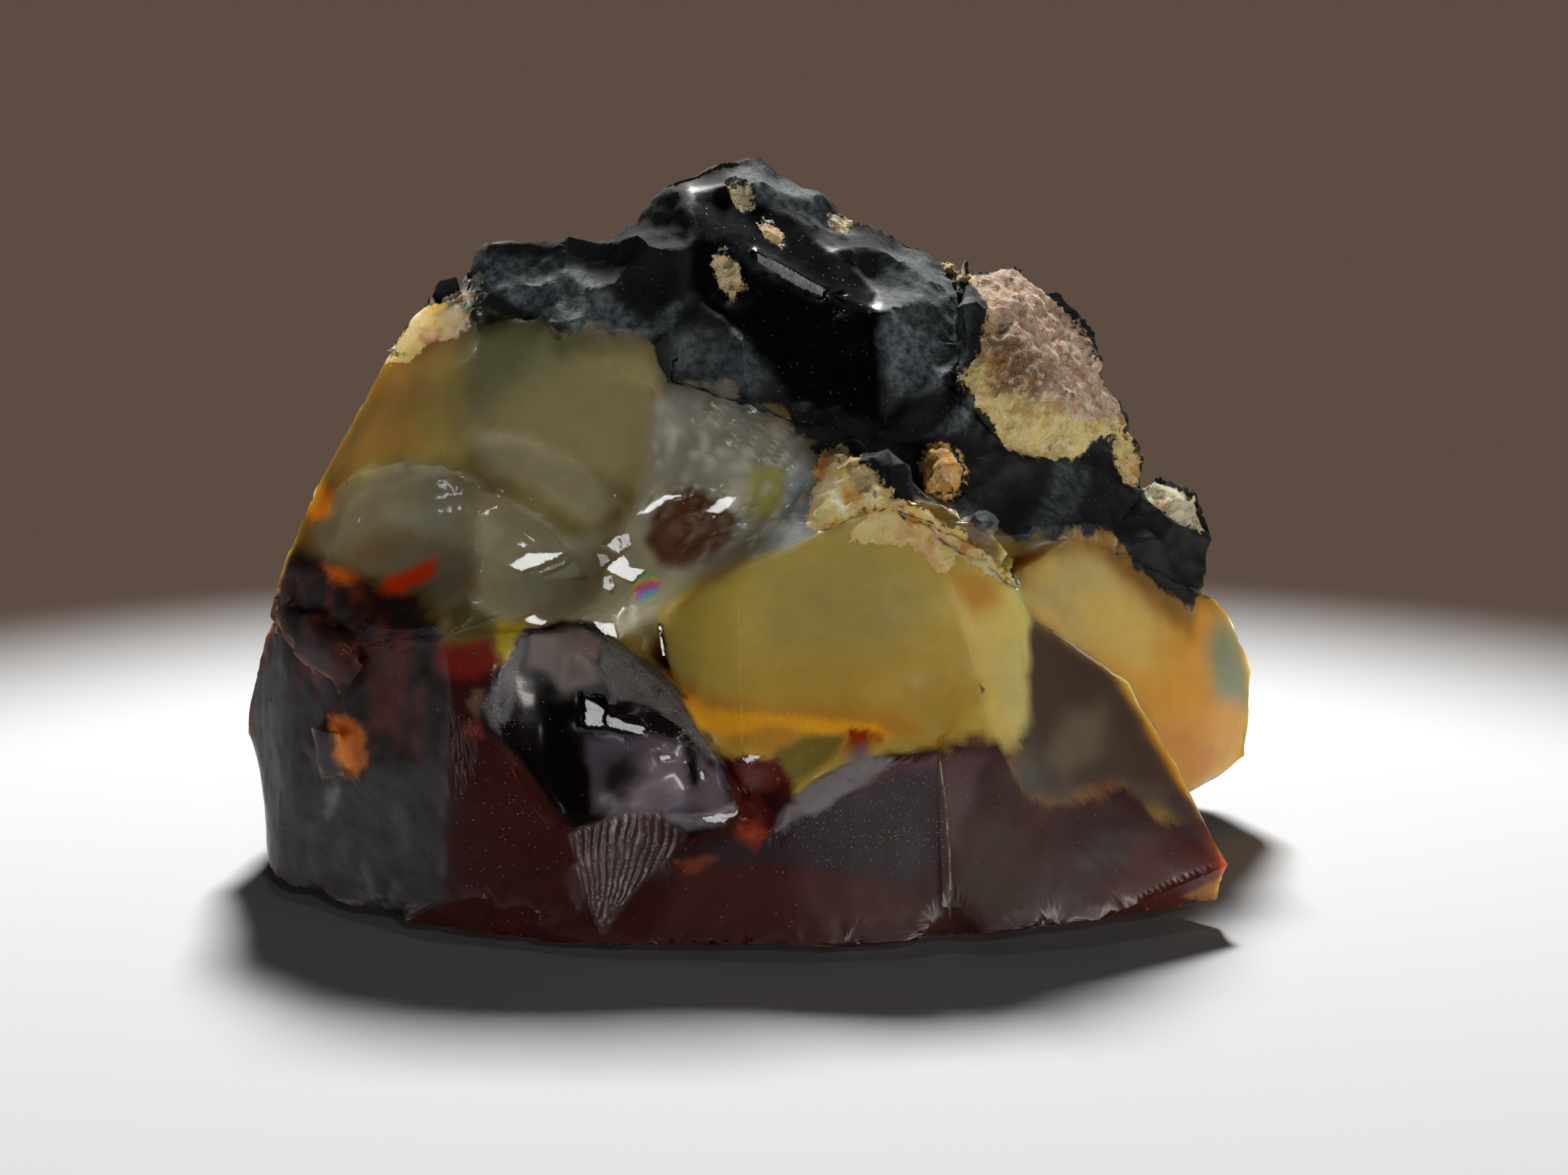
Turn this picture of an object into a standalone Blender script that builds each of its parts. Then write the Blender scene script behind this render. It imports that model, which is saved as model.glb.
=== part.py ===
"""Rough fire opal: one broken lump of banded opal with crusts of its host rock.

The stone is one closed solid. It is built in millimetres and scaled to metres at the end:
+X runs to the right along the longest side, -Y is the broken front, +Z is up, and the origin
is on the ground under the middle of the stone. Each chunk is the convex hull of a few corner
points. The chunks are joined, conchoidal scars are scooped out of them, and crumbly crusts
are added last.
"""
import math

import bmesh
import bpy
from mathutils import Euler, Matrix, Vector, noise

NAME = "rough_fire_opal"
MILLIMETRE = 0.001
WELD = 0.01

# Scars are ellipsoids of this many segments and rings, made uneven by a slow wave.
SCAR_SEGMENTS = 32
SCAR_RINGS = 20
SCAR_WAVE = 0.8
SCAR_WAVE_SCALE = 0.22

# Chips on the lower rim are wider than they are deep, and each is turned on from the last.
CHIP_STRETCH = 1.4
CHIP_TURN = 15.0

# Crusts are hulls whose edges are cut this often and roughened by fractal noise.
CRUST_CUTS = 4
CRUST_NOISE_SCALE = 0.55
CRUST_NOISE_OCTAVES = 4
CRUST_NOISE_STEP = 2.0
CRUST_NOISE_FALLOFF = 1.0

# Look of the banded opal, as one average colour.
OPAL_COLOUR = (0.19, 0.10, 0.03, 1.0)
OPAL_ROUGHNESS = 0.25

# The chunks, by the corners of their hulls (millimetres).
CHUNKS = {
    "maroon_left": [
        # lower rim of the broken front, left to right
        (-20.8, -6.9, 0.8), (-17.1, -9.6, 0.6), (-14.4, -12.0, 0.6), (-12.7, -13.0, 2.0),
        (-10.0, -13.8, 1.8), (-7.4, -14.3, 1.2), (-6.2, -14.8, 0.6), (0.0, -15.2, 0.8),
        # flat foot that the stone rests on
        (-17.5, -5.0, 0.0), (-12.0, -9.5, 0.0), (-4.0, -12.0, 0.0), (0.0, -12.2, 0.0),
        (3.0, 12.5, 0.0), (-6.0, 13.0, 0.0), (-15.0, 9.0, 0.0), (-18.5, 2.0, 0.0),
        # top of the broken front
        (-12.5, -10.5, 12.6), (-9.3, -10.6, 12.8), (-6.4, -10.4, 12.9), (-5.4, -10.5, 12.2),
        (-3.3, -11.4, 10.6), (-1.6, -12.6, 8.6), (-0.5, -13.6, 5.7), (0.0, -13.9, 5.2),
        # left end
        (-20.0, -5.6, 10.5), (-20.9, -3.2, 11.6), (-22.3, 0.0, 9.2), (-22.6, -1.0, 5.9),
        (-21.9, -2.0, 0.8), (-20.2, -7.0, 3.4),
        # back
        (2.0, 15.4, 7.0), (-8.0, 15.0, 8.0), (-17.0, 9.5, 7.0), (-21.5, 4.5, 5.0),
    ],
    "maroon_right": [
        (-6.2, -14.8, 0.6), (2.3, -15.4, 0.8), (7.5, -14.8, 0.8), (11.1, -14.2, 1.2),
        (14.0, -12.2, 1.2), (-4.0, -12.0, 0.0), (6.0, -12.3, 0.0), (12.0, -10.0, 0.0),
        (15.0, -5.0, 0.0), (16.5, 4.0, 0.0), (10.0, 12.5, 0.0), (0.0, 12.5, 0.0),
        (-0.5, -13.6, 5.7), (2.0, -13.9, 5.6), (3.3, -13.4, 6.4), (4.6, -12.7, 8.0),
        (7.8, -12.6, 8.2), (11.5, -11.6, 7.8), (17.0, 3.0, 3.0), (15.0, 10.0, 6.0),
        (5.0, 15.5, 7.0), (0.0, 0.0, 8.0),
    ],
    "left_block": [
        (-12.5, -10.5, 12.6), (-11.7, -10.2, 13.1), (-9.0, -9.9, 13.9), (-5.6, -9.8, 13.4),
        (-3.8, -8.2, 15.0), (-19.8, -4.6, 14.8), (-19.3, -3.2, 16.9), (-18.2, -4.5, 16.9),
        (-16.1, -4.8, 18.6), (-14.0, -5.2, 19.0), (-11.7, -6.2, 18.2), (-9.7, -6.6, 17.6),
        (-7.5, -7.4, 16.0), (-12.0, 2.0, 19.0), (-20.0, 2.0, 13.0), (-4.0, 0.0, 15.0),
        (-20.9, -3.4, 11.8), (-20.4, -4.2, 13.6), (-20.0, -5.6, 10.0), (-12.5, -10.5, 10.0),
        (-5.0, -9.6, 10.0), (-21.0, 1.0, 10.0),
    ],
    "left_shoulder": [
        (-11.7, -6.2, 18.2), (-9.7, -6.6, 17.6), (-7.5, -7.4, 16.0), (-14.0, -5.2, 19.0),
        (-18.2, -4.5, 16.9), (-19.3, -3.0, 16.9), (-12.2, -2.4, 23.2), (-12.1, -0.8, 24.8),
        (-8.9, -2.2, 24.7), (-4.1, -2.2, 23.2), (-2.6, -4.0, 20.3), (-3.8, -7.5, 15.6),
        (-17.1, -1.5, 19.2), (-16.3, -1.0, 21.4), (-15.7, -0.5, 23.6), (-13.6, 0.0, 24.4),
        (-12.5, 0.5, 25.7), (-13.0, 5.0, 24.0), (-17.0, 4.0, 18.0), (-18.5, 3.0, 14.0),
        (-3.0, 4.0, 24.0), (-1.0, 3.0, 16.0),
    ],
    "left_crest": [
        (-12.6, 0.8, 26.1), (-11.7, 1.0, 27.8), (-8.8, 1.5, 27.9), (-6.1, 1.5, 27.8),
        (-12.2, -0.8, 24.8), (-8.4, -2.2, 24.6), (-4.5, -2.3, 23.4), (-12.0, 5.0, 26.5),
        (-5.0, 6.0, 27.0), (-11.0, 4.0, 22.0), (-4.0, 3.0, 22.0), (-10.5, -1.4, 23.0),
        (-8.0, -1.8, 21.5), (-4.5, -2.0, 21.5),
    ],
    "black_crest": [
        (0.7, -1.8, 19.9), (5.4, -3.5, 18.8), (-3.7, -2.4, 22.0), (-4.1, -2.4, 23.2),
        (-5.5, 2.0, 28.3), (-4.3, 3.0, 29.2), (-3.5, 4.0, 30.5), (-1.3, 5.0, 30.8),
        (0.4, 7.0, 31.1), (2.3, 7.2, 30.2), (-2.9, 1.8, 29.2), (2.6, 0.6, 26.2),
        (5.4, -0.6, 23.6), (5.9, -2.2, 20.6), (4.8, 6.5, 28.3), (6.0, 4.0, 26.5),
        (-4.0, 9.0, 28.0), (2.0, 11.0, 27.0), (-6.0, 8.0, 20.0), (5.0, 9.0, 20.0),
        (-3.0, 0.0, 16.0), (6.0, 0.0, 14.0),
    ],
    "crest_bridge": [
        (-7.9, -2.1, 24.6), (-7.2, 0.2, 26.6), (-6.4, 1.6, 27.9), (-5.4, 2.2, 28.6),
        (-3.8, 1.6, 28.2), (-2.8, -0.9, 25.4), (-3.0, -2.5, 23.2), (-3.4, -3.1, 21.6),
        (-5.6, -3.3, 22.4), (-4.0, 5.0, 27.0), (-7.0, 5.0, 26.0), (-5.0, 0.0, 18.0),
    ],
    "grey_flank": [
        (2.6, 0.8, 26.0), (4.4, 6.0, 28.3), (6.6, 6.2, 27.8), (8.2, 6.0, 27.0),
        (10.0, 5.0, 26.0), (5.3, -0.5, 23.6), (5.8, -2.2, 20.6), (9.6, -1.0, 21.9),
        (9.4, 0.0, 23.4), (8.6, -1.8, 19.6), (8.0, 11.0, 22.0), (2.0, 10.0, 24.0),
        (10.0, 9.0, 18.0), (6.0, 1.0, 16.0),
    ],
    "black_flank": [
        (5.7, -2.9, 20.0), (8.7, -4.2, 17.8), (7.5, -4.8, 17.0), (10.3, -4.8, 16.0),
        (14.3, -3.0, 15.2), (16.4, -1.2, 14.2), (17.0, 1.5, 15.4), (18.2, 4.5, 17.1),
        (17.2, 5.0, 19.0), (15.8, 5.0, 21.5), (13.5, 5.0, 24.0), (10.0, 5.0, 25.5),
        (9.5, -1.0, 21.9), (13.2, -0.6, 18.6), (17.0, 8.0, 15.0), (15.0, 11.0, 15.0),
        (10.0, 12.0, 20.0), (16.0, 6.0, 9.0), (8.0, 4.0, 10.0), (10.0, -3.0, 12.0),
        (4.7, -3.3, 19.0), (4.6, -3.4, 17.0),
    ],
    "black_knob": [
        (16.2, -1.2, 14.3), (17.9, 0.4, 12.7), (19.0, 1.5, 11.6), (20.5, 2.4, 11.2),
        (21.1, 3.0, 12.0), (21.1, 4.0, 13.9), (20.6, 4.5, 15.2), (19.5, 4.2, 15.9),
        (18.0, 3.5, 16.2), (16.8, 0.5, 15.4), (19.5, 9.0, 13.0), (15.5, 7.0, 15.5),
        (15.0, 2.0, 12.0), (19.5, 8.0, 10.0),
    ],
    "honey_heart": [
        (-3.8, -8.8, 12.7), (-1.1, -9.2, 14.8), (4.2, -8.0, 17.0), (5.9, -7.8, 17.6),
        (8.9, -8.2, 15.7), (11.4, -8.8, 14.3), (12.0, -9.0, 12.6), (12.0, -9.8, 10.8),
        (11.5, -11.8, 8.0), (6.2, -12.3, 8.1), (4.4, -12.5, 8.0), (-0.2, -12.4, 8.0),
        (-2.6, -10.8, 9.8), (-3.5, -9.6, 11.5), (0.4, -13.0, 6.0), (3.4, -12.8, 6.6),
        (3.3, -3.5, 18.9), (7.5, -4.5, 17.0), (10.5, -5.5, 15.4), (-1.0, -6.0, 16.5),
        (0.0, 0.0, 16.0), (8.0, 0.0, 14.0), (11.0, -4.0, 6.0), (-1.0, -8.0, 6.0),
    ],
    "glassy_saddle": [
        (-6.5, -9.4, 13.0), (-4.4, -9.2, 13.4), (-4.6, -8.4, 14.6), (-3.6, -7.6, 15.7),
        (-0.6, -6.9, 16.4), (2.0, -5.8, 17.6), (3.3, -3.8, 18.9), (0.7, -2.6, 19.9),
        (-2.6, -4.2, 20.2), (-5.0, -6.9, 17.4), (5.4, -3.9, 18.6), (7.5, -5.0, 17.2),
        (-3.9, -2.8, 22.5), (0.7, -2.2, 20.7), (5.2, -3.7, 19.2), (11.0, -5.6, 14.8),
        (-3.0, 2.0, 14.0), (8.0, 2.0, 12.0), (-6.0, -6.0, 8.0),
        (8.0, -6.0, 8.0), (-5.4, -3.4, 21.2), (-5.6, -5.2, 18.6),
    ],
    "right_wedge": [
        (7.8, -12.6, 8.2), (8.0, -14.8, 0.8), (11.1, -14.3, 1.2), (14.5, -13.4, 1.2),
        (17.7, -11.3, 1.0), (19.9, -10.2, 1.0), (20.2, -10.9, 2.8), (19.4, -9.5, 4.3),
        (18.0, -8.5, 6.8), (16.1, -8.0, 9.9), (13.7, -8.2, 11.8), (12.2, -8.8, 12.9),
        (11.5, -11.8, 8.0), (10.0, -4.0, 11.0), (15.5, -5.5, 4.0), (17.0, -7.5, 1.0),
        (10.0, -8.0, 0.0), (13.0, -8.0, 0.0), (12.0, -3.0, 1.0),
    ],
    "right_bulge": [
        (11.4, -5.6, 14.2), (14.3, -3.0, 15.2), (16.6, -1.0, 14.1), (20.5, 2.4, 11.6),
        (21.4, 3.0, 11.3), (22.6, 5.0, 9.9), (23.6, 6.0, 7.4), (23.7, 6.0, 5.9),
        (23.5, 5.5, 4.5), (23.3, 5.0, 3.2), (22.6, 4.0, 2.7), (20.4, 1.0, 2.5),
        (15.5, -4.2, 2.5), (11.5, -6.0, 6.0), (23.0, 9.0, 5.0), (21.0, 11.0, 7.0),
        (17.0, 12.5, 9.0), (20.0, 9.0, 0.8), (17.5, 2.0, 0.4), (14.0, 12.0, 2.0),
        (12.0, 5.0, 14.0),
    ],
    "rock_back": [
        (-3.0, 8.5, 28.6), (2.0, 9.5, 28.2), (7.0, 9.0, 24.6), (13.0, 8.0, 21.5),
        (16.8, 8.5, 16.5), (20.0, 9.0, 11.5), (20.5, 11.0, 6.0), (11.0, 14.0, 8.0),
        (2.0, 15.2, 8.0), (-8.0, 14.6, 9.0), (-16.0, 10.0, 9.0), (-19.5, 4.5, 12.0),
        (-16.0, 5.0, 18.0), (-12.5, 5.5, 24.3), (-6.0, 7.5, 26.0), (-2.0, 12.0, 22.0),
        (7.0, 12.5, 17.0), (-9.0, 12.5, 16.0), (-14.0, 2.0, 12.0), (12.0, 2.0, 12.0),
        (0.0, 4.0, 25.0), (-12.0, 10.0, 3.0), (12.0, 10.0, 3.0), (-17.3, 3.2, 17.0),
        (-18.8, 2.4, 13.5), (-13.0, 3.2, 24.3), (17.0, 5.6, 18.5), (13.5, 5.8, 23.5),
    ],
}

# Conchoidal scars: centre, the three radii and the turn of an ellipsoid that is scooped out.
SCARS = {
    "front_chip": ((-7.6, -14.0, 9.2), (3.6, 3.2, 5.2), (-13.0, -24.0, -12.0)),
    "purple_chip": ((-3.4, -15.2, 7.4), (3.5, 2.7, 3.0), (0.0, 25.0, 12.0)),
    "fan_scar": ((-5.7, -18.4, 3.8), (4.7, 5.1, 5.0), (0.0, -8.0, 0.0)),
    "notch": ((0.4, -13.9, 6.6), (1.0, 1.3, 1.4), (0.0, -20.0, 0.0)),
    "left_lobe": ((-15.9, -10.0, 17.3), (5.6, 5.6, 5.4), (0.0, 0.0, 0.0)),
    "right_lobe": ((-9.1, -11.6, 17.4), (5.6, 5.4, 4.3), (0.0, 12.0, 0.0)),
    "black_crescent": ((7.6, -4.6, 20.9), (2.4, 2.6, 2.2), (0.0, 0.0, 0.0)),
    "black_hollow": ((12.2, -5.8, 18.0), (3.6, 4.2, 2.8), (0.0, 25.0, 0.0)),
    "crest_dip": ((6.0, 8.0, 30.2), (3.2, 4.0, 2.2), (0.0, 20.0, 0.0)),
    "back_left": ((-11.5, 20.0, 15.0), (8.0, 9.5, 9.0), (0.0, 20.0, 0.0)),
    "back_right": ((11.0, 21.0, 14.0), (8.5, 10.5, 6.5), (0.0, -15.0, 0.0)),
    "back_middle": ((0.5, 22.0, 19.0), (6.0, 10.5, 8.0), (0.0, 0.0, 0.0)),
    "back_peak": ((-5.0, 16.5, 28.5), (6.0, 9.0, 5.5), (0.0, 10.0, 0.0)),
    "left_side": ((-24.0, 8.0, 17.5), (6.5, 6.0, 6.5), (0.0, 0.0, 0.0)),
    "bulge_side": ((23.5, 16.0, 9.0), (5.5, 6.5, 6.0), (0.0, 0.0, 0.0)),
}

# Small chips broken from the lower rim: the point on the rim and the radius.
RIM_CHIPS = [
    ((-18.9, -8.7, 0.3), 1.0), ((-15.8, -11.6, 0.2), 1.2), ((-11.4, -13.9, 1.5), 0.8),
    ((-9.2, -14.5, 1.1), 0.9), ((-3.4, -15.6, 0.4), 0.9), ((0.0, -15.9, 0.5), 0.8),
    ((4.2, -15.9, 0.4), 0.9), ((8.6, -15.2, 0.8), 1.2), ((12.4, -14.6, 0.8), 0.9),
    ((16.2, -12.9, 0.8), 1.0), ((18.9, -11.2, 0.8), 0.7),
]

# Crusts of crumbly host rock: the corners of the lump and the height of its crumbs.
CRUSTS = {
    "tan_lump": ([
        (9.9, 4.0, 26.6), (12.1, 4.5, 26.2), (14.1, 4.5, 25.3), (15.2, 4.0, 22.9),
        (16.3, 4.0, 21.1), (17.5, 4.0, 19.2), (16.1, 2.0, 18.5), (14.1, -0.2, 18.0),
        (11.9, -1.6, 18.4), (10.2, -2.3, 20.4), (9.4, -2.1, 22.0), (9.5, 0.0, 25.1),
        (12.2, -1.1, 22.6), (11.9, 0.5, 25.0), (14.4, -0.2, 21.0), (10.0, 7.0, 22.0),
        (15.0, 7.0, 19.0), (12.0, 4.0, 17.0),
    ], 0.55),
    "tan_ledge": ([
        (2.6, -7.6, 16.6), (5.9, -7.7, 17.7), (7.4, -7.9, 16.8), (9.0, -8.0, 15.8),
        (10.9, -8.3, 14.7), (3.3, -3.9, 19.5), (4.6, -4.2, 19.3), (5.4, -4.5, 18.9),
        (6.6, -4.9, 17.8), (8.3, -5.1, 16.9), (9.5, -5.4, 16.0), (11.1, -6.1, 14.8),
        (4.6, -5.9, 19.3), (6.4, -6.4, 18.9), (8.2, -6.9, 17.8), (9.8, -7.4, 16.7),
        (10.9, -7.9, 15.5),
        (4.0, -3.0, 16.0), (9.5, -4.0, 14.0),
    ], 0.6),
    "back_crust": ([
        (3.0, 10.0, 27.5), (9.0, 9.8, 24.8), (13.5, 9.5, 20.5), (12.0, 12.4, 17.5),
        (6.0, 13.8, 16.0), (1.5, 13.2, 20.0), (2.5, 12.0, 24.5), (9.0, 12.8, 21.0),
        (6.0, 8.0, 20.0),
    ], 0.6),
    "foot_crust": ([
        (-17.0, 9.0, 3.0), (-12.0, 13.2, 2.5), (-8.0, 15.6, 4.0), (-9.0, 15.4, 9.0),
        (-14.5, 12.0, 9.5), (-17.5, 9.0, 7.0), (-11.0, 9.0, 5.0), (-12.5, 14.4, 6.0),
    ], 0.6),
    "tan_patch": ([
        (7.6, -5.0, 17.7), (7.8, -4.3, 19.3), (9.1, -3.9, 19.7), (9.5, -4.7, 18.6),
        (9.0, -5.5, 17.4), (8.4, -5.4, 18.6), (8.5, -2.0, 18.5),
    ], 0.3),
    "tan_spur": ([
        (9.2, 3.6, 26.2), (9.8, 4.0, 27.0), (10.3, 4.2, 26.1), (9.3, 2.2, 25.0),
        (9.9, 5.5, 25.4),
    ], 0.25),
    "cream_cap": ([
        (18.1, 3.2, 16.2), (18.9, 4.4, 16.9), (20.4, 4.8, 15.9), (20.8, 4.6, 15.0),
        (19.0, 2.4, 15.4), (20.2, 3.2, 14.6), (18.5, 6.0, 15.0), (20.4, 6.4, 14.4),
    ], 0.3),
    "cream_corner": ([
        (-15.9, -0.9, 23.3), (-15.1, -0.7, 24.3), (-12.9, -0.2, 26.1), (-12.0, -0.7, 25.6),
        (-12.0, -2.6, 23.3), (-14.2, -2.2, 22.8), (-13.4, 1.5, 24.4),
    ], 0.35),
    "orange_knots": ([
        (-20.4, -5.0, 12.5), (-19.0, -6.6, 12.6), (-17.2, -7.9, 12.0), (-16.2, -8.8, 10.9),
        (-17.4, -8.2, 9.6), (-20.0, -6.0, 10.6), (-17.5, -6.0, 11.5),
    ], 0.6),
    "orange_knot_low": ([
        (-18.9, -8.1, 8.2), (-17.3, -9.2, 8.0), (-17.1, -9.4, 6.2), (-18.3, -8.6, 5.8),
        (-17.4, -6.0, 7.0),
    ], 0.3),
}


def clear_scene():
    """Removes every object so that the script can be run again."""
    for item in list(bpy.data.objects):
        bpy.data.objects.remove(item, do_unlink=True)


def new_collection(name):
    """A collection of the given name under the scene's own."""
    collection = bpy.data.collections.new(name)
    bpy.context.scene.collection.children.link(collection)
    return collection


def add_object(name, shape, collection):
    """Turns a bmesh into a named object."""
    mesh = bpy.data.meshes.new(name)
    bmesh.ops.recalc_face_normals(shape, faces=shape.faces[:])
    shape.to_mesh(mesh)
    shape.free()
    item = bpy.data.objects.new(name, mesh)
    collection.objects.link(item)
    return item


def add_tool(name, shape, collection):
    """An object that only shapes the stone: drawn as a wire and never rendered."""
    item = add_object(name, shape, collection)
    item.hide_render = True
    item.display_type = "WIRE"
    return item


def hull(corners):
    """The convex hull of a list of corner points."""
    shape = bmesh.new()
    points = [shape.verts.new(corner) for corner in corners]
    made = bmesh.ops.convex_hull(shape, input=points)
    spare = [item for item in made["geom_interior"] if isinstance(item, bmesh.types.BMVert)]
    bmesh.ops.delete(shape, geom=spare, context="VERTS")
    return shape


def placed(centre, radii, turn):
    """The matrix of a unit ball stretched to three radii, turned and moved."""
    angles = Euler([math.radians(angle) for angle in turn])
    return Matrix.LocRotScale(Vector(centre), angles, Vector(radii))


def scar(centre, radii, turn):
    """The slightly uneven ellipsoid that a conchoidal scar leaves in the stone."""
    shape = bmesh.new()
    bmesh.ops.create_uvsphere(
        shape, u_segments=SCAR_SEGMENTS, v_segments=SCAR_RINGS, radius=1.0,
        matrix=placed(centre, radii, turn),
    )
    middle = Vector(centre)
    for point in shape.verts:
        outward = (point.co - middle).normalized()
        point.co += outward * SCAR_WAVE * noise.noise(point.co * SCAR_WAVE_SCALE)
    return shape


def crust(corners, crumb):
    """A lump of crumbly rock: a hull with finely cut faces, roughened by noise."""
    shape = hull(corners)
    bmesh.ops.subdivide_edges(
        shape, edges=shape.edges[:], cuts=CRUST_CUTS, use_grid_fill=True,
    )
    bmesh.ops.triangulate(shape, faces=shape.faces[:])
    shape.normal_update()
    for point in shape.verts:
        lift = noise.fractal(
            point.co * CRUST_NOISE_SCALE,
            CRUST_NOISE_FALLOFF,
            CRUST_NOISE_STEP,
            CRUST_NOISE_OCTAVES,
        )
        point.co += point.normal * crumb * lift
    return shape


def shape_with(stone, tool, operation):
    """Joins a tool to the stone, or cuts it out."""
    step = stone.modifiers.new(tool.name, "BOOLEAN")
    step.operation = operation
    step.solver = "EXACT"
    step.object = tool


def bake(stone):
    """Turns the stone and its modifiers into one plain mesh."""
    graph = bpy.context.evaluated_depsgraph_get()
    mesh = bpy.data.meshes.new_from_object(stone.evaluated_get(graph))
    stone.modifiers.clear()
    stone.data = mesh


def middle_of(values):
    """Half-way between the least and the greatest value."""
    return (min(values) + max(values)) / 2


def finish(stone):
    """Welds the stone, stands it on the ground over the origin and scales it to metres."""
    shape = bmesh.new()
    shape.from_mesh(stone.data)
    bmesh.ops.triangulate(shape, faces=shape.faces[:])
    bmesh.ops.remove_doubles(shape, verts=shape.verts[:], dist=WELD)
    bmesh.ops.dissolve_degenerate(shape, edges=shape.edges[:], dist=WELD)
    bmesh.ops.triangulate(shape, faces=shape.faces[:])
    foot = Vector((
        middle_of([point.co.x for point in shape.verts]),
        middle_of([point.co.y for point in shape.verts]),
        min(point.co.z for point in shape.verts),
    ))
    bmesh.ops.translate(shape, vec=-foot, verts=shape.verts[:])
    bmesh.ops.scale(shape, vec=(MILLIMETRE,) * 3, verts=shape.verts[:])
    shape.to_mesh(stone.data)
    shape.free()


def opal():
    """The material of the whole stone."""
    material = bpy.data.materials.new("opal")
    material.use_nodes = True
    shader = material.node_tree.nodes["Principled BSDF"]
    shader.inputs["Base Color"].default_value = OPAL_COLOUR
    shader.inputs["Roughness"].default_value = OPAL_ROUGHNESS
    shader.inputs["Metallic"].default_value = 0.0
    return material


def build():
    """Joins the chunks, cuts the scars and chips, adds the crusts and finishes the stone."""
    clear_scene()
    parts = new_collection(NAME)
    tools = new_collection("tools")
    first, *others = CHUNKS
    stone = add_object(NAME, hull(CHUNKS[first]), parts)
    for name in others:
        shape_with(stone, add_tool(name, hull(CHUNKS[name]), tools), "UNION")
    for name, (centre, radii, turn) in SCARS.items():
        shape_with(stone, add_tool(name, scar(centre, radii, turn), tools), "DIFFERENCE")
    for number, (centre, radius) in enumerate(RIM_CHIPS):
        chip = scar(centre, (radius * CHIP_STRETCH, radius, radius), (0.0, CHIP_TURN * number, 0.0))
        shape_with(stone, add_tool("rim_chip_%d" % number, chip, tools), "DIFFERENCE")
    for name, (corners, crumb) in CRUSTS.items():
        shape_with(stone, add_tool(name, crust(corners, crumb), tools), "UNION")
    bake(stone)
    finish(stone)
    stone.data.materials.append(opal())


build()
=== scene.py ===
# %% [markdown]
# # A rough fire opal, cell by cell
#
# The real thing is one lump of banded opal that somebody knocked out of its host rock. From the
# foot up it goes from nearly opaque maroon through clear amber and cloudy olive honey to glassy
# black, with crumbs of tan rock still stuck on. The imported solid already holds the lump's facets
# and the big scars. This lesson dresses it: it keeps the solid's shape, carves the ripples, flakes
# and crumbs that are too fine for it, and gives each band of the stone its own finish.

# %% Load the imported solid
import math

import bmesh
import bpy
import numpy as np
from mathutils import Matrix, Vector


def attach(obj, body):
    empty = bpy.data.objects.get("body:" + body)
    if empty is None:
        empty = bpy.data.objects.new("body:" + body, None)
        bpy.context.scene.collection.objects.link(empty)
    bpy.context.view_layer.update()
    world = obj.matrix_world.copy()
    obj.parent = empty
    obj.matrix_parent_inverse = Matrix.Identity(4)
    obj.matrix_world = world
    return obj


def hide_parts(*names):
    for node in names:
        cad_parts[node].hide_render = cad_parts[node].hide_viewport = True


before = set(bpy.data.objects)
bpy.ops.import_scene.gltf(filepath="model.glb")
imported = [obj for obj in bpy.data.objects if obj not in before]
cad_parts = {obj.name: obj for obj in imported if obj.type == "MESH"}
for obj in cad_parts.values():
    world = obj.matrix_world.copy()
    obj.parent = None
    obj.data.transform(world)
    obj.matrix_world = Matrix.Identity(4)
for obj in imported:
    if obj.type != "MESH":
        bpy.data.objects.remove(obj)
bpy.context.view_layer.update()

MM = 0.001
STONE = "rough_fire_opal"

# %% [markdown]
# ## Where we stand
#
# Most of what makes this stone recognisable is drawn on its broken front: a percussion ring, a
# fan of ribs, bands of colour. Such marks are easiest to place in a flat drawing, the way an
# engraver works. So we first settle the camera, and then define the drawing as the plane through
# the camera's aim, square to its view. Every mark below is given in millimetres on that plane.

# %% The camera and the front drawing
CAMERA_HEIGHT_ANGLE = math.radians(12.0)
CAMERA_DISTANCE = 125.0
CAMERA_AIM = np.array([0.95, -0.14, 12.4])
LENS = 63.51
FORWARD = np.array([0.0, math.cos(CAMERA_HEIGHT_ANGLE), -math.sin(CAMERA_HEIGHT_ANGLE)])
UPWARD = np.array([0.0, math.sin(CAMERA_HEIGHT_ANGLE), math.cos(CAMERA_HEIGHT_ANGLE)])
RIGHTWARD = np.array([1.0, 0.0, 0.0])
EYE = CAMERA_AIM - CAMERA_DISTANCE * FORWARD


def front_view(points):
    """Where points land on the front drawing: seen from the eye, scaled to the aim's distance."""
    reach = points - EYE
    scale = CAMERA_DISTANCE / (reach @ FORWARD)
    return reach[:, 0] * scale, (reach @ UPWARD) * scale


def put(name, data):
    """A new object with this data, linked to the scene."""
    thing = bpy.data.objects.new(name, data)
    bpy.context.scene.collection.objects.link(thing)
    return thing


camera = put("camera", bpy.data.cameras.new("camera"))
camera.data.lens = LENS
camera.data.clip_start = 0.005
camera.location = Vector(EYE * MM)
camera.rotation_euler = Vector(FORWARD).to_track_quat("-Z", "Y").to_euler()
bpy.context.scene.camera = camera
print("the eye stands at", np.round(EYE, 1), "mm")

# %% [markdown]
# ## The stone's skin
#
# A broken stone can't be drawn as one smooth sheet over two parameters, because its scars fold
# back under each other. A sculpting tool or a voxel remesh would round off the sharp edges. So we
# take a copy of the solid, weld its loose triangles, and split every edge that is too long until
# the skin is fine enough to carve. All of it is done on whole arrays, without a loop over points.

# %% Take a welded copy
WELD = 1e-6


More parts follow.
